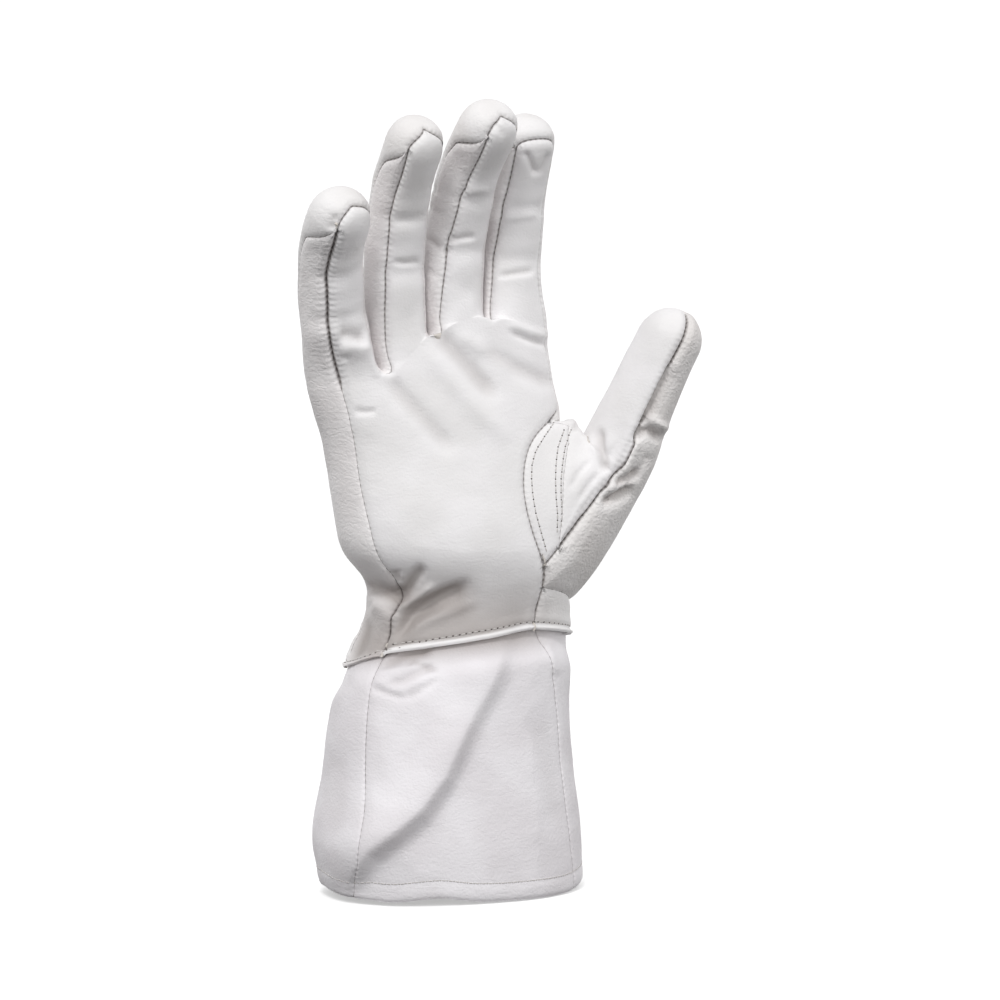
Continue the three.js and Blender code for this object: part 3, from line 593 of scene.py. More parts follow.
class Skin:
    """The whole outer surface as one welded mesh, with the piece that each face belongs to."""

    def __init__(self):
        self.bm = bmesh.new()
        self.piece = self.bm.faces.layers.int.new("piece")
        self.part = self.bm.verts.layers.int.new("part")
        self.names = []
        self.parts = []

    def patch(self, part, points, piece_of, flip=False):
        """Adds a grid of points. piece_of(i, j) names the piece of a cell, None in a hole."""
        columns, rows = points.shape[0] - 1, points.shape[1] - 1
        if part not in self.parts:
            self.parts.append(part)
        start = len(self.bm.faces)
        made = bmesh.ops.create_grid(self.bm, x_segments=columns, y_segments=rows, size=1)
        where = (points.transpose(1, 0, 2).reshape(-1, 3) * MM).tolist()
        for vert, co in zip(made["verts"], where):
            vert.co = co
            vert[self.part] = self.parts.index(part)
        self.bm.verts.index_update()
        first = made["verts"][0].index
        self.bm.faces.ensure_lookup_table()
        faces = self.bm.faces[start:]
        for face in faces:
            j, i = divmod(min(v.index for v in face.verts) - first, columns + 1)
            name = piece_of(i, j)
            if name is not None and name not in self.names:
                self.names.append(name)
            face[self.piece] = -1 if name is None else self.names.index(name)
        if flip:
            bmesh.ops.reverse_faces(self.bm, faces=faces)

    def weld(self):
        """Opens the thumb hole and joins the patches along their shared lines."""
        gone = [f for f in self.bm.faces if f[self.piece] < 0]
        bmesh.ops.delete(self.bm, geom=gone, context="FACES")
        bmesh.ops.remove_doubles(self.bm, verts=self.bm.verts, dist=0.00001)

    def read(self):
        """Points, edges and parts as arrays."""
        bm = self.bm
        bm.verts.ensure_lookup_table()
        bm.verts.index_update()
        self.points = np.array([v.co[:] for v in bm.verts]) / MM
        self.edges = np.array([[v.index for v in e.verts] for e in bm.edges])
        self.part_of = np.array([v[self.part] for v in bm.verts])

    def write(self):
        for vert, co in zip(self.bm.verts, (self.points * MM).tolist()):
            vert.co = co
        self.bm.normal_update()

    def normals(self):
        self.write()
        return np.array([v.normal[:] for v in self.bm.verts])

    def relax(self, weight, rounds):
        """Moves points towards the middle of their neighbours, as far as weight says."""
        a, b = self.edges.T
        count = np.bincount(self.edges.ravel(), minlength=len(self.points))
        for _ in range(rounds):
            total = np.stack([
                np.bincount(a, self.points[b, c], len(self.points))
                + np.bincount(b, self.points[a, c], len(self.points)) for c in range(3)], axis=1)
            self.points += (total / count[:, None] - self.points) * weight[:, None] * 0.6


def nearest(points, seeds):
    """Distance to the nearest seed, and which one it is."""
    tree = kdtree.KDTree(len(seeds))
    for i, p in enumerate(seeds.tolist()):
        tree.insert(p, i)
    tree.balance()
    found = [tree.find(p) for p in points.tolist()]
    return np.array([d for _, _, d in found]), np.array([i for _, i, _ in found])


def line_share(points, line):
    """Signed distance from points to a broken line in a plane, and the place along it."""
    line = np.array(line, float)
    lengths = np.linalg.norm(np.diff(line, axis=0), axis=1)
    total, so_far = lengths.sum(), 0.0
    best = np.full(len(points), 1e9)
    aside, along = np.zeros(len(points)), np.zeros(len(points))
    for a, b, length in zip(line, line[1:], lengths):
        d = (b - a) / length
        rel = points - a
        t = np.clip(rel @ d, 0, length)
        off = rel - t[:, None] * d
        dist = np.linalg.norm(off, axis=1)
        near = dist < best
        best = np.where(near, dist, best)
        side = np.sign(d[0] * rel[:, 1] - d[1] * rel[:, 0])
        aside = np.where(near, dist * side, aside)
        along = np.where(near, (so_far + t) / total, along)
        so_far += length
    return aside, along, total


def to_picture(points):
    """Place in the photograph's frame of 1000 pixels, and the size of 1 mm there."""
    d = points - AIM
    scale = FOCAL / (VIEW_DISTANCE - d @ TO_CAMERA)
    return np.stack([500 + scale * (d @ RIGHT), 500 - scale * (d @ UP)], axis=1), scale


def from_noise(points, size, seed):
    """Soft noise from -1 to 1 with bumps of a size in mm."""
    shift = Vector((seed * 17.3, seed * 5.1, seed * 9.7))
    return np.array([noise.noise(Vector(p) / size + shift) for p in points.tolist()])


# Soft waves all over the leather: height and size in mm, and the seed of their noise
WAVES = ((0.28, 17, 1), (0.13, 6.5, 2))


def press_folds(skin):
    """Folds of both tables and the soft waves. Notes how deep the valleys are, for the shade that
    is painted into the leather's colour there.
    """
    normals = skin.normals()
    depth = np.zeros(len(skin.points))
    skin.crease = np.zeros(len(skin.points))
    for side, xs, zs, width, deep in BODY_FOLDS:
        line = ((xs[0], zs[0]), (xs[1], zs[1]))
        aside, along, total = line_share(skin.points[:, [0, 2]], line)
        share = smooth(np.minimum(along, 1 - along) * total / width + 0.35)
        fold = deep * bump(aside / width) * share * smooth(-normals[:, 1] * side * 1.5)
        depth += fold
        skin.crease += np.maximum(fold, 0)
    place, scale = to_picture(skin.points)
    facing = smooth((normals @ TO_CAMERA + 0.2) / 0.4)
    for line, first, second, deep in PICTURE_FOLDS:
        aside, along, total = line_share(place, line)
        aside = aside / scale
        width = np.where(aside > 0, first, second)
        ends = smooth(np.minimum(along, 1 - along) * 4)
        fold = deep * bump(aside / width) * ends * facing
        depth += fold
        skin.crease += np.maximum(fold, 0)
    soft = sum(high * from_noise(skin.points, size, seed) for high, size, seed in WAVES)
    skin.points -= normals * (depth + soft)[:, None]


# Depth of the groove of a seam against the usual depth: the two pieces, from and to a height,
# and the factor
SEAM_DEPTHS = (
    ("palm_panel", "thumb_crescent", -50, 400, 0.7),
    ("thumb_front", "thumb_crescent", -50, 400, 0.35),
    ("back_panel", "thumb_back", -50, 400, 0.45),
    ("thumb_front", "thumb_back", -50, 400, 1.6),
    ("back_panel", "thumb_front", -50, 400, 0.15),
    ("cuff_front", "cuff_back", -50, 400, 0.4),
    ("little_side_strip", "palm_panel", 197, 400, 2.0),
    ("little_side_strip", "palm_panel", 118, 197, 0.45),
    ("little_side_strip", "palm_panel", 80, 118, 1.2),
    ("back_panel", "little_side_strip", 80, 400, 0.6),
)
# The seam across a fingertip, closer than this to its end, is nearly flat
TIP_REACH, TIP_SEAM = 16.0, 0.06
# Height and half width, in mm, of the slot between two leathers and of the valley beside it,
# height, distance and half width of the swell past that, height and reach of the puckers
SLOT, VALLEY, SWELL, PUCKER = (0.9, 0.5), (0.45, 1.6), (0.16, 3.2, 1.6), (0.22, 2.2)
SEAM_REACH, SEAM_STEP = 9, 0.25


def seam_depth(skin, pair, spots):
    """Depth of the groove at points along one seam, against the usual depth."""
    names = sorted(skin.names[n] for n in pair)
    depth = np.ones(len(spots))
    for a, b, low, high, factor in SEAM_DEPTHS:
        if sorted((a, b)) == names:
            share = smooth((spots[:, 2] - low) / 6 + 0.5) * smooth((high - spots[:, 2]) / 6 + 0.5)
            depth += (factor - 1) * share
    corner = back_of_hand(np.array(HOLE_BACK), np.array(HOLE_HIGH))
    depth *= 1 - 0.92 * bump(np.linalg.norm(spots - corner, axis=1) / 17)
    if "back_panel" in names and "palm_panel" not in names:
        tips = np.array([line.points[-1] for line in LINES])
        near = np.linalg.norm(spots[:, None] - tips[None], axis=2).min(axis=1)
        depth *= lerp(TIP_SEAM, 1, smooth((near - TIP_REACH + 4) / 6))
    return depth


def seam_chains(skin):
    """Seams between pieces, as (piece numbers, point numbers in order)."""
    graph = {}
    for edge in skin.bm.edges:
        pair = frozenset(f[skin.piece] for f in edge.link_faces)
        if len(pair) == 2:
            a, b = (v.index for v in edge.verts)
            graph.setdefault(pair, {}).setdefault(a, []).append(b)
            graph[pair].setdefault(b, []).append(a)
    for pair, links in graph.items():
        todo = dict.fromkeys([v for v in links if len(links[v]) == 1] + list(links))
        for start in list(todo):
            if start not in todo:
                continue
            chain = [start]
            del todo[start]
            while following := [v for v in links[chain[-1]] if v in todo]:
                chain.append(following[0])
                del todo[following[0]]
            if chain[0] in links[chain[-1]] and len(chain) > 2:
                chain.append(chain[0])
            if len(chain) > 1:
                yield pair, chain


def edge_points(skin, wanted):
    """Close points along the edges of the mesh that wanted() picks."""
    out = []
    for edge in skin.bm.edges:
        if wanted(edge):
            p, q = (skin.points[v.index] for v in edge.verts)
            count = max(1, int(np.linalg.norm(q - p) / 0.3))
            out += [p + (q - p) * t for t in np.arange(count) / count]
    return np.array(out)


def press_seams(skin):
    """Grooves where two pieces are sewn together, with the small puckers of the sewing."""
    spots, depths, along, parts = [], [], [], []
    for pair, chain in seam_chains(skin):
        line = skin.points[chain]
        reach = np.concatenate([[0], np.cumsum(np.linalg.norm(np.diff(line, axis=0), axis=1))])
        at = np.arange(0, reach[-1], SEAM_STEP)
        spots.append(np.stack([np.interp(at, reach, line[:, c]) for c in range(3)], axis=1))
        depths.append(seam_depth(skin, pair, spots[-1]))
        along.append(at)
        parts += [set(skin.part_of[chain].tolist())] * len(at)
    spots, depths, along = (np.concatenate(rows) for rows in (spots, depths, along))
    normals = skin.normals()
    move = np.zeros(len(skin.points))
    skin.seam = np.full(len(skin.points), float(SEAM_REACH))
    skin.along = np.zeros(len(skin.points))
    hand = skin.parts.index("hand")
    for part in range(len(skin.parts)):
        mine = np.flatnonzero(skin.part_of == part)
        allowed = np.array([part == hand or part in own or hand in own for own in parts])
        d, i = nearest(skin.points[mine], spots[allowed])
        deep, spot = depths[allowed][i], spots[allowed][i]
        near = d < SEAM_REACH
        pucker = np.zeros(len(mine))
        pucker[near] = from_noise(spot[near], 2.8, 3) + 0.6 * from_noise(spot[near], 1.4, 4)
        slot = SLOT[0] * np.exp(-((d / SLOT[1]) ** 1.5)) + VALLEY[0] * bump(d / VALLEY[1])
        swell = SWELL[0] * bump((d - SWELL[1]) / SWELL[2])
        move[mine] = deep * (slot - swell + PUCKER[0] * pucker * np.exp(-d / PUCKER[1]))
        skin.seam[mine] = d / np.clip(deep, 0.08, 2.0)
        skin.along[mine] = along[allowed][i]
    skin.points -= normals * move[:, None]


# Left of this column of the photograph's frame the edge of the lap lies flat
STRIP_LAP_END = 384
# The rolled edge of the lap stands this high as far as its width
ROLL, ROLL_WIDTH = 0.95, 2.1
# Bumps beside an edge: height, distance from the edge and half width in mm. The lap is rounded
# at its edge, dips where it is sewn down and swells above. The hem is rounded, dips along
# its row of stitches and swells between
LAP_BUMPS = ((-0.7, 0, 0.4), (-0.5, 2.6, 0.6), (0.3, 4.6, 1.6))
HEM_BUMPS = ((-0.6, 0, 0.8), (-0.14, 7.2, 0.9), (0.12, 4, 2))
# The edge of the lap and that of the hem lie below these heights in mm
LAP_ZONE, HEM_ZONE = 112, 30


def add_bumps(height, d, bumps):
    """Adds bumps to a height, at a distance d from an edge."""
    for high, place, width in bumps:
        height = height + high * bump((d - place) / width)
    return height


def press_edges(skin):
    """Turned edge along the wrist, and the rounded edge of the hem."""
    hand = [i for i, name in enumerate(skin.names) if not name.startswith("cuff")]

    def lap_edge(edge):
        return len(edge.link_faces) == 1 and edge.link_faces[0][skin.piece] in hand

    def hem(edge):
        return len(edge.link_faces) == 1 and min(v.co.z for v in edge.verts) < HEM_ZONE * MM

    normals = skin.normals()
    cuff = skin.parts.index("cuff")
    mine = np.flatnonzero(skin.part_of != cuff)
    low = mine[skin.points[mine, 2] < LAP_ZONE]
    d, _ = nearest(skin.points[low], edge_points(skin, lap_edge))
    roll = add_bumps(ROLL * smooth((ROLL_WIDTH - d) / 0.6), d, LAP_BUMPS)
    flat = smooth((STRIP_LAP_END - to_picture(skin.points[low])[0][:, 0]) / 6)
    flat = flat * smooth(normals[low] @ TO_CAMERA * 4)
    skin.points[low] += normals[low] * (roll * (1 - 0.8 * flat))[:, None]
    # No painted fold shade on the rolled edge of the lap, so that it stays bright
    skin.crease[low] *= np.maximum(smooth((d - 1.9) / 0.8), flat)
    lap = edge_points(skin, lap_edge)
    skin.lap = lap[np.argsort(np.arctan2(lap[:, 1], lap[:, 0] - BODY(90)["cx"]))]
    skin.hem = np.full(len(skin.points), 99.0)
    mine = np.flatnonzero((skin.part_of == cuff) & (skin.points[:, 2] < HEM_ZONE))
    d, _ = nearest(skin.points[mine], edge_points(skin, hem))
    skin.hem[mine] = d
    skin.points[mine] += normals[mine] * add_bumps(0, d, HEM_BUMPS)[:, None]


SIDE_PIECES = ("fourchette_little_ring", "fourchette_ring_middle", "fourchette_middle_index")


def finger_piece(f, k, s):
    """Name of the leather piece at a place of a finger."""
    if tip_share(f, s) >= LEAF_ROW - 1e-6:
        return "back_panel"
    if k < 6:
        return "palm_panel"
    if k < 9:
        return "back_panel" if f == 3 else SIDE_PIECES[f]
    if k < 15:
        return "back_panel"
    return "little_side_strip" if f == 0 else SIDE_PIECES[f - 1]


def thumb_piece(k, t):
    """Name of the leather piece at a column of the thumb, t 0 on the first band of its root."""
    if k < 1 - 1e-6 or k >= 13 - 1e-6:
        return "thumb_back"
    return "thumb_crescent" if t < 1 and k < 8 - 1e-6 else "thumb_front"


# Lengths in mm that the cells of a patch are counted from, across and up. The back of the
# cuff has cells a little wider than the rest
FINGER_SPAN, THUMB_SPAN, LITTLE_SPAN, FORK_SPAN = 23, 34, 20, 12
HAND_HEIGHT, BAND_SPAN, ROOT_SPAN = 115, 18, 30
CUFF_HEIGHT, CUFF_FRONT, CUFF_BACK, CUFF_BACK_CELL = 104.0, 110, 200, 1.15


def cut_hand(skin, cell):
    """Patches of palm, sides, back, fingers and thumb. Returns the lines to be relaxed."""
    per_finger = stations(FINGER_SPAN, (0, 1 / 3, 2 / 3, 1), (0, 1), cell)
    across = np.unique(np.round(np.concatenate([(f + per_finger) / 4 for f in range(4)]), 9))
    marks = (0, HOLE_LOW, 3 / ROWS, HOLE_HIGH, 1)
    up = stations(HAND_HEIGHT, marks, marks, cell)
    thumb_across = stations(THUMB_SPAN, (0, 1), (0,), cell)
    little_across = stations(LITTLE_SPAN, (0, 1), (0, 1), cell)
    fork_across = stations(FORK_SPAN, (0, 1), (0, 1), cell)

    def in_hole(j):
        return HOLE_LOW - 1e-6 <= up[j] < HOLE_HIGH - 1e-6

    skin.patch("hand", palm(across[:, None], up[None]), lambda i, j: "palm_panel")
    skin.patch("hand", little_side(little_across[:, None], up[None]),
               lambda i, j: "little_side_strip", flip=True)
    skin.patch("hand", thumb_side(thumb_across[:, None], up[None]),
               lambda i, j: None if in_hole(j) else "back_panel")
    skin.patch("hand", back_of_hand(across[:, None], up[None]),
               lambda i, j: None if in_hole(j) and across[i] < HOLE_BACK - 1e-6 else "back_panel")

    for f, size in enumerate(FINGERS):
        length, tip = size["length"], size["width"] * TIP
        radial = thumb_across if f == 3 else fork_across
        ulnar = 1 - little_across[::-1] if f == 0 else fork_across
        columns = np.unique(np.round(np.concatenate([
            6 * per_finger, 6 + 3 * radial, 9 + 6 * per_finger, 15 + 3 * ulnar]), 9))
        shaft = stations(length - tip, (0, 1), (0,), cell) * (length - tip)
        marks = (0, LEAF_ROW - 0.03, LEAF_ROW, LEAF_ROW + 0.03, 0.8, 1)
        cap = np.concatenate([
            np.linspace(a, b, max(2, round((b - a) * tip / cell * 1.8)) + 1)
            for a, b in zip(marks, marks[1:])])
        rows = np.unique(np.round(np.concatenate([shaft, length - tip + tip * cap]), 9))
        rows[-1] = length
        skin.patch(size["name"], finger(f, columns[:, None], rows[None]),
                   lambda i, j, f=f, c=columns, r=rows: finger_piece(f, c[i], r[j]))

    hole = up[(up >= HOLE_LOW - 1e-6) & (up <= HOLE_HIGH + 1e-6)]
    rise = (hole - HOLE_LOW) / (HOLE_HIGH - HOLE_LOW)
    side = across[across <= HOLE_BACK + 1e-6] * 24
    columns = np.unique(np.round(np.concatenate([
        8 * rise, 8 + 3 * thumb_across, 11 + side, 13 + 8 * (1 - rise), 23 - side,
        23 + 3 * (1 - thumb_across)]), 8))
    band = stations(BAND_SPAN, (0, 1), (0, 1), cell)
    rest = stations(ROOT_SPAN, (0, 1), (0,), cell)
    free = stations(THUMB_LENGTH - THUMB_TIP, (0, 1), (), cell) * (1 - THUMB_TIP / THUMB_LENGTH)
    cap = 1 - (1 - np.linspace(0, 1, 18)) ** 1.7 * THUMB_TIP / THUMB_LENGTH
    share = crescent_share(columns)[:, None]
    c = columns[:, None]
    rows = [
        thumb_root(c, share * band[None]),
        thumb_root(c, share + (1 - share) * rest[None, 1:]),
        thumb(c, np.concatenate([free[1:], cap[1:]])[None]),
    ]
    skin.patch("thumb", np.concatenate(rows, axis=1),
               lambda i, j: thumb_piece(columns[i], 0 if j < len(band) - 1 else 1), flip=True)
    ring = np.linspace(0, 26, 131)
    return {"thumb_ring": thumb(ring, np.zeros_like(ring)), "hole": hole_edge(ring),
            "forks": np.concatenate([crotch(j, np.linspace(0, 1, 13)) for j in (1, 2, 3)])}


def cut_cuff(skin, cell):
    """Patches of the front and the back of the cuff."""
    up = stations(CUFF_HEIGHT, (0, HEM_TURN / CUFF_HEIGHT, 1), (0,), cell)
    front = stations(CUFF_FRONT, (0, 1), (0, 1), cell)
    back = stations(CUFF_BACK, (0, 1), (0, 1), cell * CUFF_BACK_CELL)

    def seam(name, turn=0):
        return lambda z: CUFF_SEAMS(z)[name] - turn

    skin.patch("cuff", cuff_point(up[None], seam("little"), seam("thumb"), front[:, None]),
               lambda i, j: "cuff_front")
    skin.patch("cuff", cuff_point(up[None], seam("thumb"), seam("little", 360), back[:, None]),
               lambda i, j: "cuff_back")


_made = {}
# Where the mesh is relaxed: strength and reach in mm, round the thumb, its hole, the upper
# corner of the hole on the back and the forks between the fingers
RELAX_ROUNDS = 24
THUMB_EASE, HOLE_EASE, CORNER_EASE, FORK_EASE = (0.9, 5), (0.8, 3.5), (0.9, 11), (0.6, 3)
# The leather is thinner in narrow places, so that its two layers don't meet
THINNING, THIN_REACH = 0.93, 5.0


def glove_skin():
    """The finished skin. It is made once, by the first operator that asks for it."""
    if "skin" in _made:
        return _made["skin"]
    sizes = bpy.context.scene.glove_sizes
    cell = sizes.cell / MM
    skin = Skin()
    lines = cut_hand(skin, cell)
    cut_cuff(skin, cell)
    skin.weld()
    skin.read()
    corner = back_of_hand(np.array(HOLE_BACK), np.array(HOLE_HIGH))
    eased = [share * bump(away / reach) for away, (share, reach) in (
        (nearest(skin.points, lines["thumb_ring"])[0], THUMB_EASE),
        (nearest(skin.points, lines["hole"])[0], HOLE_EASE),
        (np.linalg.norm(skin.points - corner, axis=1), CORNER_EASE),
        (nearest(skin.points, lines["forks"])[0], FORK_EASE),
    )]
    eased[0][skin.part_of != skin.parts.index("thumb")] = 0
    skin.relax(np.max(eased, axis=0), RELAX_ROUNDS)
    press_folds(skin)
    press_seams(skin)
    press_edges(skin)
    skin.write()
    wall = np.where(skin.hem < HEM_TURN, sizes.hem_leather, sizes.leather)
    # Edge of the hole at the web, the forks between the fingers, and the web itself
    notches = np.vstack([hole_edge(np.linspace(6.5, 14.5, 80)), lines["forks"],
                         thumb(np.linspace(7, 12, 40), np.zeros(40))])
    wall *= 1 - THINNING * bump(nearest(skin.points, notches)[0] / THIN_REACH)
    # crease_depth carries the depth of the valleys, which paints shade into the leather's colour in
    # the folds
    for name, values in (("seam_distance", skin.seam * MM), ("seam_along", skin.along * MM),
                         ("crease_depth", skin.crease * MM), ("wall", wall)):
        layer = skin.bm.verts.layers.float.new(name)
        for vert, value in zip(skin.bm.verts, values.tolist()):
            vert[layer] = value
    skin.tree = BVHTree.FromBMesh(skin.bm)
    _made["skin"] = skin
    return skin


def new_piece(name, bm, *finishes):
    """Makes a bmesh an object of the scene, shaded smooth inside its open edges."""
    for edge in bm.edges:
        edge.smooth = not edge.is_boundary
    for face in bm.faces:
        face.smooth = True
    mesh = bpy.data.meshes.new(name)
    bm.to_mesh(mesh)
    bm.free()
    for finish in finishes:
        mesh.materials.append(material(finish))
    piece = bpy.data.objects.new(name, mesh)
    bpy.context.scene.collection.objects.link(piece)
    return piece


def cut_piece(node, name, leather, also=()):
    """Cuts one leather piece out of the skin, gives it its thickness and replaces its solids."""
    skin = glove_skin()
    if node not in skin.names:
        raise RuntimeError(f"the skin has no piece {node}")
    number = skin.names.index(node)
    bm = skin.bm.copy()
    layer = bm.faces.layers.int["piece"]
    bmesh.ops.delete(bm, geom=[f for f in bm.faces if f[layer] != number], context="FACES")
    layer = bm.verts.layers.float["wall"]
    walls = np.array([v[layer] for v in bm.verts])
    piece = new_piece(name, bm, leather, "suede")
    wall = piece.modifiers.new("Leather thickness", "SOLIDIFY")
    wall.offset = -1
    wall.material_offset = 1
    wall.thickness = walls.max()
    group = piece.vertex_groups.new(name="wall")
    shares = np.round(walls / walls.max(), 2)
    for share in np.unique(shares):
        group.add(np.flatnonzero(shares == share).tolist(), share, "REPLACE")
    wall.vertex_group = group.name
    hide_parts(node, *also)
    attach(piece, "root")


def on_skin(pixels):
    """Points on the skin behind a line drawn in the photograph's frame."""
    eye = Vector((AIM + TO_CAMERA * VIEW_DISTANCE) * MM)
    out = []
    for x, y in pixels:
        ray = -TO_CAMERA * FOCAL + RIGHT * (x - 500) + UP * (500 - y)
        hit = glove_skin().tree.ray_cast(eye, Vector(ray).normalized())[0]
        if hit is not None:
            out.append(hit)
    if len(out) < 2:
        raise RuntimeError("a stitch line misses the glove")
    return out


def resampled(path, pitch):
    """Points along a path at an even pitch."""
    points = np.array([p[:] for p in path])
    reach = np.concatenate([[0], np.cumsum(np.linalg.norm(np.diff(points, axis=0), axis=1))])
    count = max(2, int(reach[-1] / pitch) + 1)
    at = np.linspace(0, reach[-1], count)
    return np.stack([np.interp(at, reach, points[:, c]) for c in range(3)], axis=1)


# A thread's half depth and the height of its middle above the leather, against its radius
THREAD_DEPTH, THREAD_RISE = 0.7, 0.25
# Mark of a needle hole, a dark bead of painted shade: half sizes in metres along the row, across it
# and in depth, and rise
NEEDLE_HOLE, HOLE_RISE = (0.00042, 0.00036, 0.00010), 0.00002


def sew(bm, path, sizes):
    """One row of stitches: short threads between needle holes, lying on the skin."""
    tree = glove_skin().tree
    half = (sizes.stitch_length / 2, sizes.thread, sizes.thread * THREAD_DEPTH)
    spots = resampled(path, sizes.stitch_pitch)
    for a, b in zip(spots, spots[1:]):
        middle, normal, _, _ = tree.find_nearest(Vector((a + b) / 2))
        along = Vector(b - a)
        along = (along - normal * along.dot(normal)).normalized()
        turn = Matrix((along, normal.cross(along), normal)).transposed().to_4x4()
        thread = (Matrix.Translation(middle + normal * (sizes.thread * THREAD_RISE)) @ turn
                  @ Matrix.Diagonal((*half, 1)))
        bmesh.ops.create_uvsphere(bm, u_segments=8, v_segments=4, radius=1, matrix=thread)
        spot, normal, _, _ = tree.find_nearest(Vector(a))
        hole = (Matrix.Translation(spot + normal * HOLE_RISE) @ turn
                @ Matrix.Diagonal((*NEEDLE_HOLE, 1)))
        made = bmesh.ops.create_icosphere(bm, subdivisions=1, radius=1, matrix=hole)
        for face in {f for v in made["verts"] for f in v.link_faces}:
            face.material_index = 1


def thread_piece(name, rows, holes="needle_hole"):
    """Rows of stitches as one piece."""
    bm = bmesh.new()
    for path in rows:
        sew(bm, path, bpy.context.scene.glove_sizes)
    piece = new_piece(name, bm, "thread", holes)
    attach(piece, "root")


# Rows of stitches on the crescent, as lines in the photograph's frame
CRESCENT_ROWS = (
    ((558, 420), (546, 434), (536, 450), (532, 464), (531.5, 480), (533, 497), (536, 514),
     (541, 532), (547, 553)),
    ((564, 430), (558, 447), (556, 463), (555.5, 480), (556, 497), (557.5, 513), (557, 534)),
    ((571, 430), (565, 447), (562.5, 463), (561, 480), (561, 497), (562, 513), (561, 528)),
)
# Height in mm of the stitches above the edge of the lap and above the hem
WRIST_ROW, HEM_ROW = 3.0, 7.3


def wrist_row():
    """Line over the edge of the hand leather all round the wrist."""
    lap = glove_skin().lap
    smoothed = sum(np.roll(lap, n, axis=0) for n in range(-4, 5)) / 9 + (0, 0, WRIST_ROW)
    return (np.vstack([smoothed, smoothed[:1]]) * MM).tolist()


def hem_row():
    """Line over the hem all round the cuff."""
    angle = np.linspace(-180, 180, 160)
    return (section(HEM(turned(angle))["z"] + HEM_ROW, angle) * MM).tolist()


def linear(value):
    """Linear colour of an sRGB hex value."""
    parts = [int(value[i:i + 2], 16) / 255 for i in (1, 3, 5)]
    linear_parts = [c / 12.92 if c <= 0.04045 else ((c + 0.055) / 1.055) ** 2.4 for c in parts]
    return (*linear_parts, 1)


def add_node(tree, kind, inputs=None, **settings):
    """Adds a node with its settings. Each input is a value, the output of another node, or a
    node, which stands for its first output in use."""
    made = tree.nodes.new(kind)
    for name, value in settings.items():
        setattr(made, name, value)
    for socket, value in (inputs or {}).items():
        if isinstance(value, bpy.types.Node):
            value = next(output for output in value.outputs if output.enabled)
        if isinstance(value, bpy.types.NodeSocket):
            tree.links.new(value, made.inputs[socket])
        else:
            made.inputs[socket].default_value = value
    return made


def new_material(name):
    """An empty material, its node tree, and the place on the object that its nodes read."""
    made = bpy.data.materials.new(name)
    made.use_nodes = True
    tree = made.node_tree
    tree.nodes.clear()
    return made, tree, add_node(tree, "ShaderNodeTexCoord").outputs["Object"]


# Distance of the needle holes along a seam, in metres
NEEDLE_PITCH = 0.0024
# Sizes in metres of each leather's grain: one pebble and its height, one crinkle and its
# height, and the roughness. The palm is tight and smooth, the thumb's back the coarsest. The
# pebbles of real goat leather are about half as wide, too fine to show in the render
LEATHERS = {
    "palm": (0.0010, 0.00006, 0.006, 0.00003, 0.50),
    "back": (0.0011, 0.00008, 0.006, 0.00005, 0.52),
    "side": (0.0011, 0.00009, 0.005, 0.00007, 0.54),
    "pebbled": (0.0012, 0.00026, 0.006, 0.00006, 0.56),
    "cuff": (0.0011, 0.00009, 0.0055, 0.00004, 0.58),
}


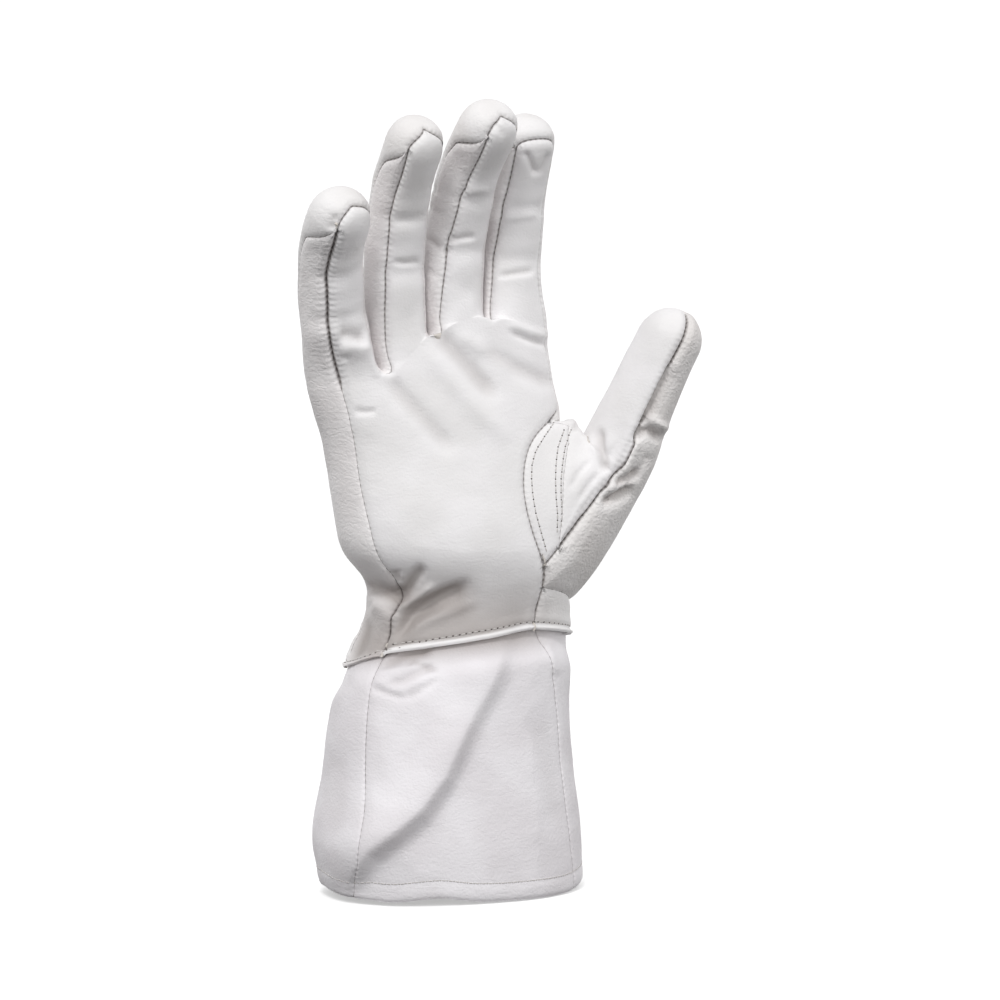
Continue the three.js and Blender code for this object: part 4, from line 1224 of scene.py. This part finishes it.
def grain_leather(name):
    """Goat grain leather, drum dyed white and softly milled: a fine pebble with crinkles
    between, satin where it is stretched, painted greyer in the deep folds as their shade, and
    painted grey in the slot of a seam with its stitches as its shade."""
    grain, relief, crinkle, crinkle_depth, roughness = LEATHERS[name]
    colours = bpy.context.scene.glove_colours
    made, tree, place = new_material(f"{name}_goat_leather")
    warp = add_node(tree, "ShaderNodeTexNoise",
                    {"Vector": place, "Scale": 1 / (grain * 3), "Detail": 2.0})
    bent = add_node(tree, "ShaderNodeVectorMath",
                    {0: warp.outputs["Color"], 1: (grain * 1.6,) * 3, 2: place},
                    operation="MULTIPLY_ADD")
    pebble = add_node(tree, "ShaderNodeTexVoronoi",
                      {"Vector": bent, "Scale": 1 / grain, "Smoothness": 0.6},
                      feature="SMOOTH_F1")
    pore = add_node(tree, "ShaderNodeTexNoise",
                    {"Vector": place, "Scale": 1 / (grain * 0.7), "Detail": 3.0})
    flat = add_node(tree, "ShaderNodeMapping", {"Vector": place, "Scale": (1.0, 1.0, 2.0)})
    fine = add_node(tree, "ShaderNodeTexNoise", {
        "Vector": flat, "Scale": 1 / crinkle, "Detail": 3.0, "Distortion": 0.5})
    cloud = add_node(tree, "ShaderNodeTexNoise",
                     {"Vector": place, "Scale": 1 / 0.028, "Detail": 2.0})

    # Needle holes and puckers run along the seam that is nearest
    distance = add_node(tree, "ShaderNodeAttribute", attribute_name="seam_distance").outputs["Fac"]
    along = add_node(tree, "ShaderNodeAttribute", attribute_name="seam_along").outputs["Fac"]
    phase = add_node(tree, "ShaderNodeMath", {0: along, 1: math.tau / NEEDLE_PITCH},
                     operation="MULTIPLY")
    wave = add_node(tree, "ShaderNodeMath", {0: phase}, operation="SINE")
    # Painted shade: the slot of a seam is mixed towards a grey, a little more at each needle hole
    slot = add_node(tree, "ShaderNodeMapRange",
                    {"Value": distance, "From Min": 0.0006, "From Max": 0.0001},
                    interpolation_type="SMOOTHSTEP")
    stitched = add_node(tree, "ShaderNodeMapRange", {
        "Value": wave, "From Min": -0.4, "From Max": 0.7, "To Min": 0.6, "To Max": 0.9},
        interpolation_type="SMOOTHSTEP")
    painted_seam_shade = add_node(tree, "ShaderNodeMath", {0: slot, 1: stitched}, operation="MULTIPLY")
    beside = add_node(tree, "ShaderNodeMapRange",
                      {"Value": distance, "From Min": 0.0030, "From Max": 0.0004},
                      interpolation_type="SMOOTHSTEP")
    pucker = add_node(tree, "ShaderNodeMath", {0: wave, 1: beside}, operation="MULTIPLY")

    # Crinkles are the thin lines where a noise crosses its middle
    centred = add_node(tree, "ShaderNodeMath", {0: fine, 1: 0.5}, operation="SUBTRACT")
    ridge = add_node(tree, "ShaderNodeMath", {0: centred}, operation="ABSOLUTE")
    plateau = add_node(tree, "ShaderNodeMapRange", {"Value": ridge, "From Max": 0.13},
                       interpolation_type="SMOOTHSTEP")
    height = add_node(tree, "ShaderNodeMath", {0: plateau, 1: crinkle_depth},
                      operation="MULTIPLY")
    for pattern, high in ((pebble, -relief), (pore, relief * 0.6), (pucker, 0.00007)):
        height = add_node(tree, "ShaderNodeMath", {0: pattern, 1: high, 2: height},
                          operation="MULTIPLY_ADD")
    surface = add_node(tree, "ShaderNodeBump",
                       {"Height": height, "Strength": 1.0, "Distance": 1.0})

    patch = add_node(tree, "ShaderNodeMapRange",
                     {"Value": cloud, "From Min": 0.38, "From Max": 0.66},
                     interpolation_type="SMOOTHSTEP")
    body = add_node(tree, "ShaderNodeMix",
                    {"Factor": patch, "A": getattr(colours, name),
                     "B": getattr(colours, name + "_shade")}, data_type="RGBA")
    # Painted shade: where the pressed folds are deep, the leather's colour is mixed towards a grey
    # that stands in for their shade
    crease = add_node(tree, "ShaderNodeAttribute", attribute_name="crease_depth").outputs["Fac"]
    deep = add_node(tree, "ShaderNodeMapRange", {
        "Value": crease, "From Min": 0.0004, "From Max": 0.0048, "To Max": 0.85})
    painted_fold_shade = add_node(tree, "ShaderNodeMix",
                       {"Factor": deep, "A": body, "B": colours.painted_fold_shade}, data_type="RGBA")
    tint = add_node(tree, "ShaderNodeMix",
                    {"Factor": painted_seam_shade, "A": painted_fold_shade, "B": colours.seam}, data_type="RGBA")
    gloss = add_node(tree, "ShaderNodeMapRange", {
        "Value": cloud, "From Min": 0.3, "From Max": 0.7, "To Min": roughness - 0.05,
        "To Max": roughness + 0.08}, interpolation_type="SMOOTHSTEP")
    leather = add_node(tree, "ShaderNodeBsdfPrincipled", {
        "Base Color": tint, "Metallic": 0.0, "Roughness": gloss, "IOR": 1.5,
        "Specular IOR Level": 0.35, "Normal": surface})
    add_node(tree, "ShaderNodeOutputMaterial", {"Surface": leather})
    return made


def mottled(name, mottle, tones, relief, values):
    """A finish in two tones that a noise mixes, with the relief of another noise. Each noise
    has its size in metres and its detail, the relief also its strength and depth."""
    made, tree, place = new_material(name)
    cloud = add_node(tree, "ShaderNodeTexNoise",
                     {"Vector": place, "Scale": 1 / mottle[0], "Detail": mottle[1]})
    colour = add_node(tree, "ShaderNodeMix", {"Factor": cloud, "A": tones[0], "B": tones[1]},
                      data_type="RGBA")
    inputs = {"Base Color": colour, **values}
    if relief:
        nap = add_node(tree, "ShaderNodeTexNoise",
                       {"Vector": place, "Scale": 1 / relief[0], "Detail": relief[1]})
        inputs["Normal"] = add_node(
            tree, "ShaderNodeBump",
            {"Height": nap, "Strength": relief[2], "Distance": relief[3]})
    body = add_node(tree, "ShaderNodeBsdfPrincipled", inputs)
    add_node(tree, "ShaderNodeOutputMaterial", {"Surface": body})
    return made


def suede():
    """Flesh side of the hide: a matt nap, a little warmer than the outside."""
    return mottled("suede_flesh_side", (0.012, 2.0), (linear("#E6E1DB"), linear("#CFC8C0")),
                   (0.0012, 4.0, 0.8, 0.0003),
                   {"Roughness": 0.95, "Specular IOR Level": 0.2, "Sheen Weight": 0.25})


def sewing_thread():
    """Bonded polyester thread: pale grey, twisted in plies 0.4 mm apart."""
    colours = bpy.context.scene.glove_colours
    return mottled("polyester_sewing_thread", (0.0004, 2.0),
                   (colours.thread, colours.thread_shade), (0.0004, 2.0, 0.6, 0.0001),
                   {"Roughness": 0.6, "Specular IOR Level": 0.4})


def needle_hole():
    """Painted shade in the holes that the needle left: dark warm grey, no shine."""
    return mottled("needle_hole_shade", (0.002, 1.0), (linear("#5A5552"), linear("#77716D")),
                   None, {"Roughness": 0.95, "Specular IOR Level": 0.1})


def studio_acrylic():
    """Backlit white studio acrylic, matt, with a faint mottle."""
    return mottled("backlit_studio_acrylic", (1 / 3, 2.0), (linear("#FAFAFA"), linear("#F6F6F6")),
                   None, {"Roughness": 0.95, "Specular IOR Level": 0.0,
                          "Emission Color": (1, 1, 1, 1), "Emission Strength": 0.45})


FINISHES = {"suede": suede, "thread": sewing_thread, "needle_hole": needle_hole,
            "studio_acrylic": studio_acrylic}


def material(name):
    """The finish of that name, made when it is first asked for."""
    if name not in _made:
        _made[name] = grain_leather(name) if name in LEATHERS else FINISHES[name]()
    return _made[name]


class GloveSizes(bpy.types.PropertyGroup):
    leather: bpy.props.FloatProperty(
        name="Leather", description="Thickness of one layer of leather",
        default=0.0012, unit="LENGTH")
    hem_leather: bpy.props.FloatProperty(
        name="Hem", description="Thickness where the edge of the cuff is turned in",
        default=0.0022, unit="LENGTH")
    cell: bpy.props.FloatProperty(
        name="Cell", description="Size of one mesh cell of the leather",
        default=0.001, unit="LENGTH")
    stitch_pitch: bpy.props.FloatProperty(
        name="Stitch pitch", description="Distance from one needle hole to the next",
        default=0.0027, unit="LENGTH")
    stitch_length: bpy.props.FloatProperty(
        name="Stitch length", description="Visible thread between two needle holes",
        default=0.0018, unit="LENGTH")
    thread: bpy.props.FloatProperty(
        name="Thread", description="Radius of the sewing thread", default=0.00026, unit="LENGTH")


def colour_property(name, description, value):
    """Colour that a user may change, from its sRGB hex value."""
    return bpy.props.FloatVectorProperty(name=name, description=description, size=4, min=0,
                                         max=1, subtype="COLOR", default=linear(value))


class GloveColours(bpy.types.PropertyGroup):
    palm: colour_property("Palm", "Smooth leather of palm, thumb and crescent", "#F5F3F4")
    palm_shade: colour_property("Palm clouds", "Second tone of the palm leather", "#EFEDED")
    back: colour_property("Back", "Leather of the back and the finger backs", "#F2F0F0")
    back_shade: colour_property("Back clouds", "Second tone of the back leather", "#E9E6E5")
    side: colour_property("Sides", "Leather of the side strip and between fingers", "#F5F2F2")
    side_shade: colour_property("Side clouds", "Second tone of the side leather", "#EBE7E7")
    pebbled: colour_property("Thumb back", "Grained leather outside the thumb", "#F0EDEC")
    pebbled_shade: colour_property("Thumb clouds", "Its second tone", "#E4E0DE")
    cuff: colour_property("Cuff", "Leather of the gauntlet cuff", "#F2EFF2")
    cuff_shade: colour_property("Cuff clouds", "Second tone of the cuff leather", "#EAE6E9")
    # Painted shade: the grey that the leather is mixed towards in deep folds, standing in for their
    # shade
    painted_fold_shade: colour_property("Handled", "Grey that handling leaves in deep folds", "#A39B97")
    # Painted shade in the slot of a seam
    seam: colour_property("Seam", "Shade in the slot of a seam", "#7A7471")
    thread: colour_property("Thread", "Sewing thread", "#DAD7D4")
    thread_shade: colour_property("Thread plies", "Between the plies of the thread", "#BDB9B6")


class StageLook(bpy.types.PropertyGroup):
    key_power: bpy.props.FloatProperty(
        name="Key light", description="Power of the light above the little finger side",
        default=8.5, unit="POWER")
    fill_power: bpy.props.FloatProperty(
        name="Fill light", description="Power of the soft light in front of the palm",
        default=2.5, unit="POWER")
    sky: bpy.props.FloatProperty(
        name="Room", description="White light of the room from above and beside",
        default=1.0, min=0)
    ceiling: bpy.props.FloatProperty(
        name="Ceiling", description="Share of the room's light that comes from straight above",
        default=0.6, min=0, max=1, subtype="FACTOR")
    ground: bpy.props.FloatProperty(
        name="Below", description="White light of the room from below", default=0.05, min=0)


class GLOVE_OT_hand(bpy.types.Operator):
    """Cut the palm, the back and the side strips of the hand"""

    bl_idname = "glove.hand"
    bl_label = "Hand leather"

    def execute(self, context):
        cut_piece("palm_panel", "palm_leather", "palm")
        cut_piece("back_panel", "back_leather", "back",
                  [f"{finger['name']}_back" for finger in FINGERS])
        cut_piece("little_side_strip", "little_side_leather", "side")
        for node in SIDE_PIECES:
            cut_piece(node, node + "_leather", "side")
        return {"FINISHED"}


class GLOVE_OT_thumb(bpy.types.Operator):
    """Cut the two halves of the thumb and the crescent at its root"""

    bl_idname = "glove.thumb"
    bl_label = "Thumb leather"

    def execute(self, context):
        cut_piece("thumb_front", "thumb_front_leather", "palm")
        cut_piece("thumb_back", "thumb_back_leather", "pebbled")
        cut_piece("thumb_crescent", "thumb_crescent_leather", "palm")
        return {"FINISHED"}


class GLOVE_OT_cuff(bpy.types.Operator):
    """Cut the front and the back of the gauntlet cuff"""

    bl_idname = "glove.cuff"
    bl_label = "Cuff leather"

    def execute(self, context):
        cut_piece("cuff_front", "cuff_front_leather", "cuff")
        cut_piece("cuff_back", "cuff_back_leather", "cuff")
        return {"FINISHED"}


class GLOVE_OT_stitching(bpy.types.Operator):
    """Sew the visible rows of stitches"""

    bl_idname = "glove.stitching"
    bl_label = "Stitching"

    def execute(self, context):
        thread_piece("crescent_stitches", map(on_skin, CRESCENT_ROWS))
        thread_piece("wrist_stitches", [wrist_row()])
        thread_piece("hem_stitches", [hem_row()], holes="thread")
        return {"FINISHED"}


# Profile of the studio floor in metres, from its middle out and up into the backdrop
FLOOR = ((0, 0), (1.6, 0), (1.9, 0.04), (2.15, 0.16), (2.3, 0.36), (2.36, 0.7), (2.38, 1.4))
# Place of each lamp from the middle of the glove, and its size, in metres
KEY_PLACE, KEY_SIZE = (-0.62, -0.95, 1.25), 0.36
FILL_PLACE, FILL_SIZE = (0.1, -1.5, 0.35), 0.9
# Room light by the Z of its direction, 1 straight up: from where to where it grows out of the
# ground's light, and fades to the ceiling's share. Then the width of the camera's sensor in mm
HORIZON, CEILING = (-0.32, 0.06), (0.35, 0.9)
SENSOR = 36


class GLOVE_OT_stage(bpy.types.Operator):
    """Set up the floor, the lights and the camera"""

    bl_idname = "glove.stage"
    bl_label = "Studio stage"

    def execute(self, context):
        look = context.scene.stage_look
        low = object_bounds()[0].z
        bm = bmesh.new()
        verts = [bm.verts.new((x, 0, z)) for x, z in FLOOR]
        edges = [bm.edges.new(pair) for pair in zip(verts, verts[1:])]
        bmesh.ops.spin(bm, geom=verts + edges, cent=(0, 0, 0), axis=(0, 0, 1), dvec=(0, 0, 0),
                       angle=math.tau, steps=96, use_merge=True, use_normal_flip=False)
        bmesh.ops.remove_doubles(bm, verts=bm.verts, dist=0.0001)
        bmesh.ops.translate(bm, verts=bm.verts, vec=(0, 0, low - 0.0005))
        bmesh.ops.recalc_face_normals(bm, faces=bm.faces)
        if sum(f.normal.z for f in bm.faces) < 0:
            bmesh.ops.reverse_faces(bm, faces=bm.faces)
        floor = new_piece("studio_floor", bm, "studio_acrylic")
        floor.visible_diffuse = False
        floor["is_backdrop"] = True

        for name, place, size, power in (
            ("key_softbox", KEY_PLACE, KEY_SIZE, look.key_power),
            ("fill_softbox", FILL_PLACE, FILL_SIZE, look.fill_power),
        ):
            light = bpy.data.lights.new(name, "AREA")
            light.shape, light.size, light.energy = "DISK", size, power
            lamp = bpy.data.objects.new(name, light)
            lamp.location = Vector(AIM * MM) + Vector(place)
            lamp.rotation_mode = "QUATERNION"
            lamp.rotation_quaternion = Vector(place).to_track_quat("Z", "Y")
            context.scene.collection.objects.link(lamp)

        world = bpy.data.worlds.new("studio_room")
        world.use_nodes = True
        tree = world.node_tree
        tree.nodes.clear()
        place = add_node(tree, "ShaderNodeTexCoord").outputs["Object"]
        height = add_node(tree, "ShaderNodeSeparateXYZ", {0: place}).outputs["Z"]
        glow = add_node(tree, "ShaderNodeMapRange", {
            "Value": height, "From Min": HORIZON[0], "From Max": HORIZON[1],
            "To Min": look.ground, "To Max": look.sky}, interpolation_type="SMOOTHSTEP")
        dim = add_node(tree, "ShaderNodeMapRange", {
            "Value": height, "From Min": CEILING[0], "From Max": CEILING[1],
            "To Min": 1.0, "To Max": look.ceiling}, interpolation_type="SMOOTHSTEP")
        strength = add_node(tree, "ShaderNodeMath", {0: glow, 1: dim}, operation="MULTIPLY")
        room = add_node(tree, "ShaderNodeBackground",
                        {"Color": (1, 1, 1, 1), "Strength": strength})
        add_node(tree, "ShaderNodeOutputWorld", {"Surface": room})
        context.scene.world = world
        context.scene.view_settings.view_transform = "Standard"

        lens = bpy.data.cameras.new("photograph_camera")
        lens.sensor_width, lens.lens = SENSOR, FOCAL / 1000 * SENSOR
        camera = bpy.data.objects.new("photograph_camera", lens)
        camera.location = Vector((AIM + TO_CAMERA * VIEW_DISTANCE) * MM)
        camera.rotation_mode = "QUATERNION"
        camera.rotation_quaternion = Matrix(
            (Vector(RIGHT), Vector(UP), Vector(TO_CAMERA))).transposed().to_quaternion()
        context.scene.collection.objects.link(camera)
        context.scene.camera = camera
        return {"FINISHED"}


class GLOVE_PT_panel(bpy.types.Panel):
    bl_label = "Gauntlet glove"
    bl_idname = "GLOVE_PT_panel"
    bl_space_type = "VIEW_3D"
    bl_region_type = "UI"
    bl_category = "Glove"

    def draw(self, context):
        scene = context.scene
        for group in (scene.glove_sizes, scene.glove_colours, scene.stage_look):
            box = self.layout.box()
            for name in group.bl_rna.properties.keys():
                if name not in {"rna_type", "name"}:
                    box.prop(group, name)
        for operator in OPERATORS:
            self.layout.operator(operator.bl_idname)


OPERATORS = (GLOVE_OT_hand, GLOVE_OT_thumb, GLOVE_OT_cuff, GLOVE_OT_stitching, GLOVE_OT_stage)
CLASSES = (GloveSizes, GloveColours, StageLook, *OPERATORS, GLOVE_PT_panel)


def register():
    for cls in CLASSES:
        bpy.utils.register_class(cls)
    bpy.types.Scene.glove_sizes = bpy.props.PointerProperty(type=GloveSizes)
    bpy.types.Scene.glove_colours = bpy.props.PointerProperty(type=GloveColours)
    bpy.types.Scene.stage_look = bpy.props.PointerProperty(type=StageLook)


def unregister():
    del bpy.types.Scene.stage_look
    del bpy.types.Scene.glove_colours
    del bpy.types.Scene.glove_sizes
    for cls in reversed(CLASSES):
        bpy.utils.unregister_class(cls)


def main():
    register()
    bpy.ops.glove.hand()
    bpy.ops.glove.thumb()
    bpy.ops.glove.cuff()
    bpy.ops.glove.stitching()
    bpy.ops.glove.stage()


if __name__ == "__main__":
    main()
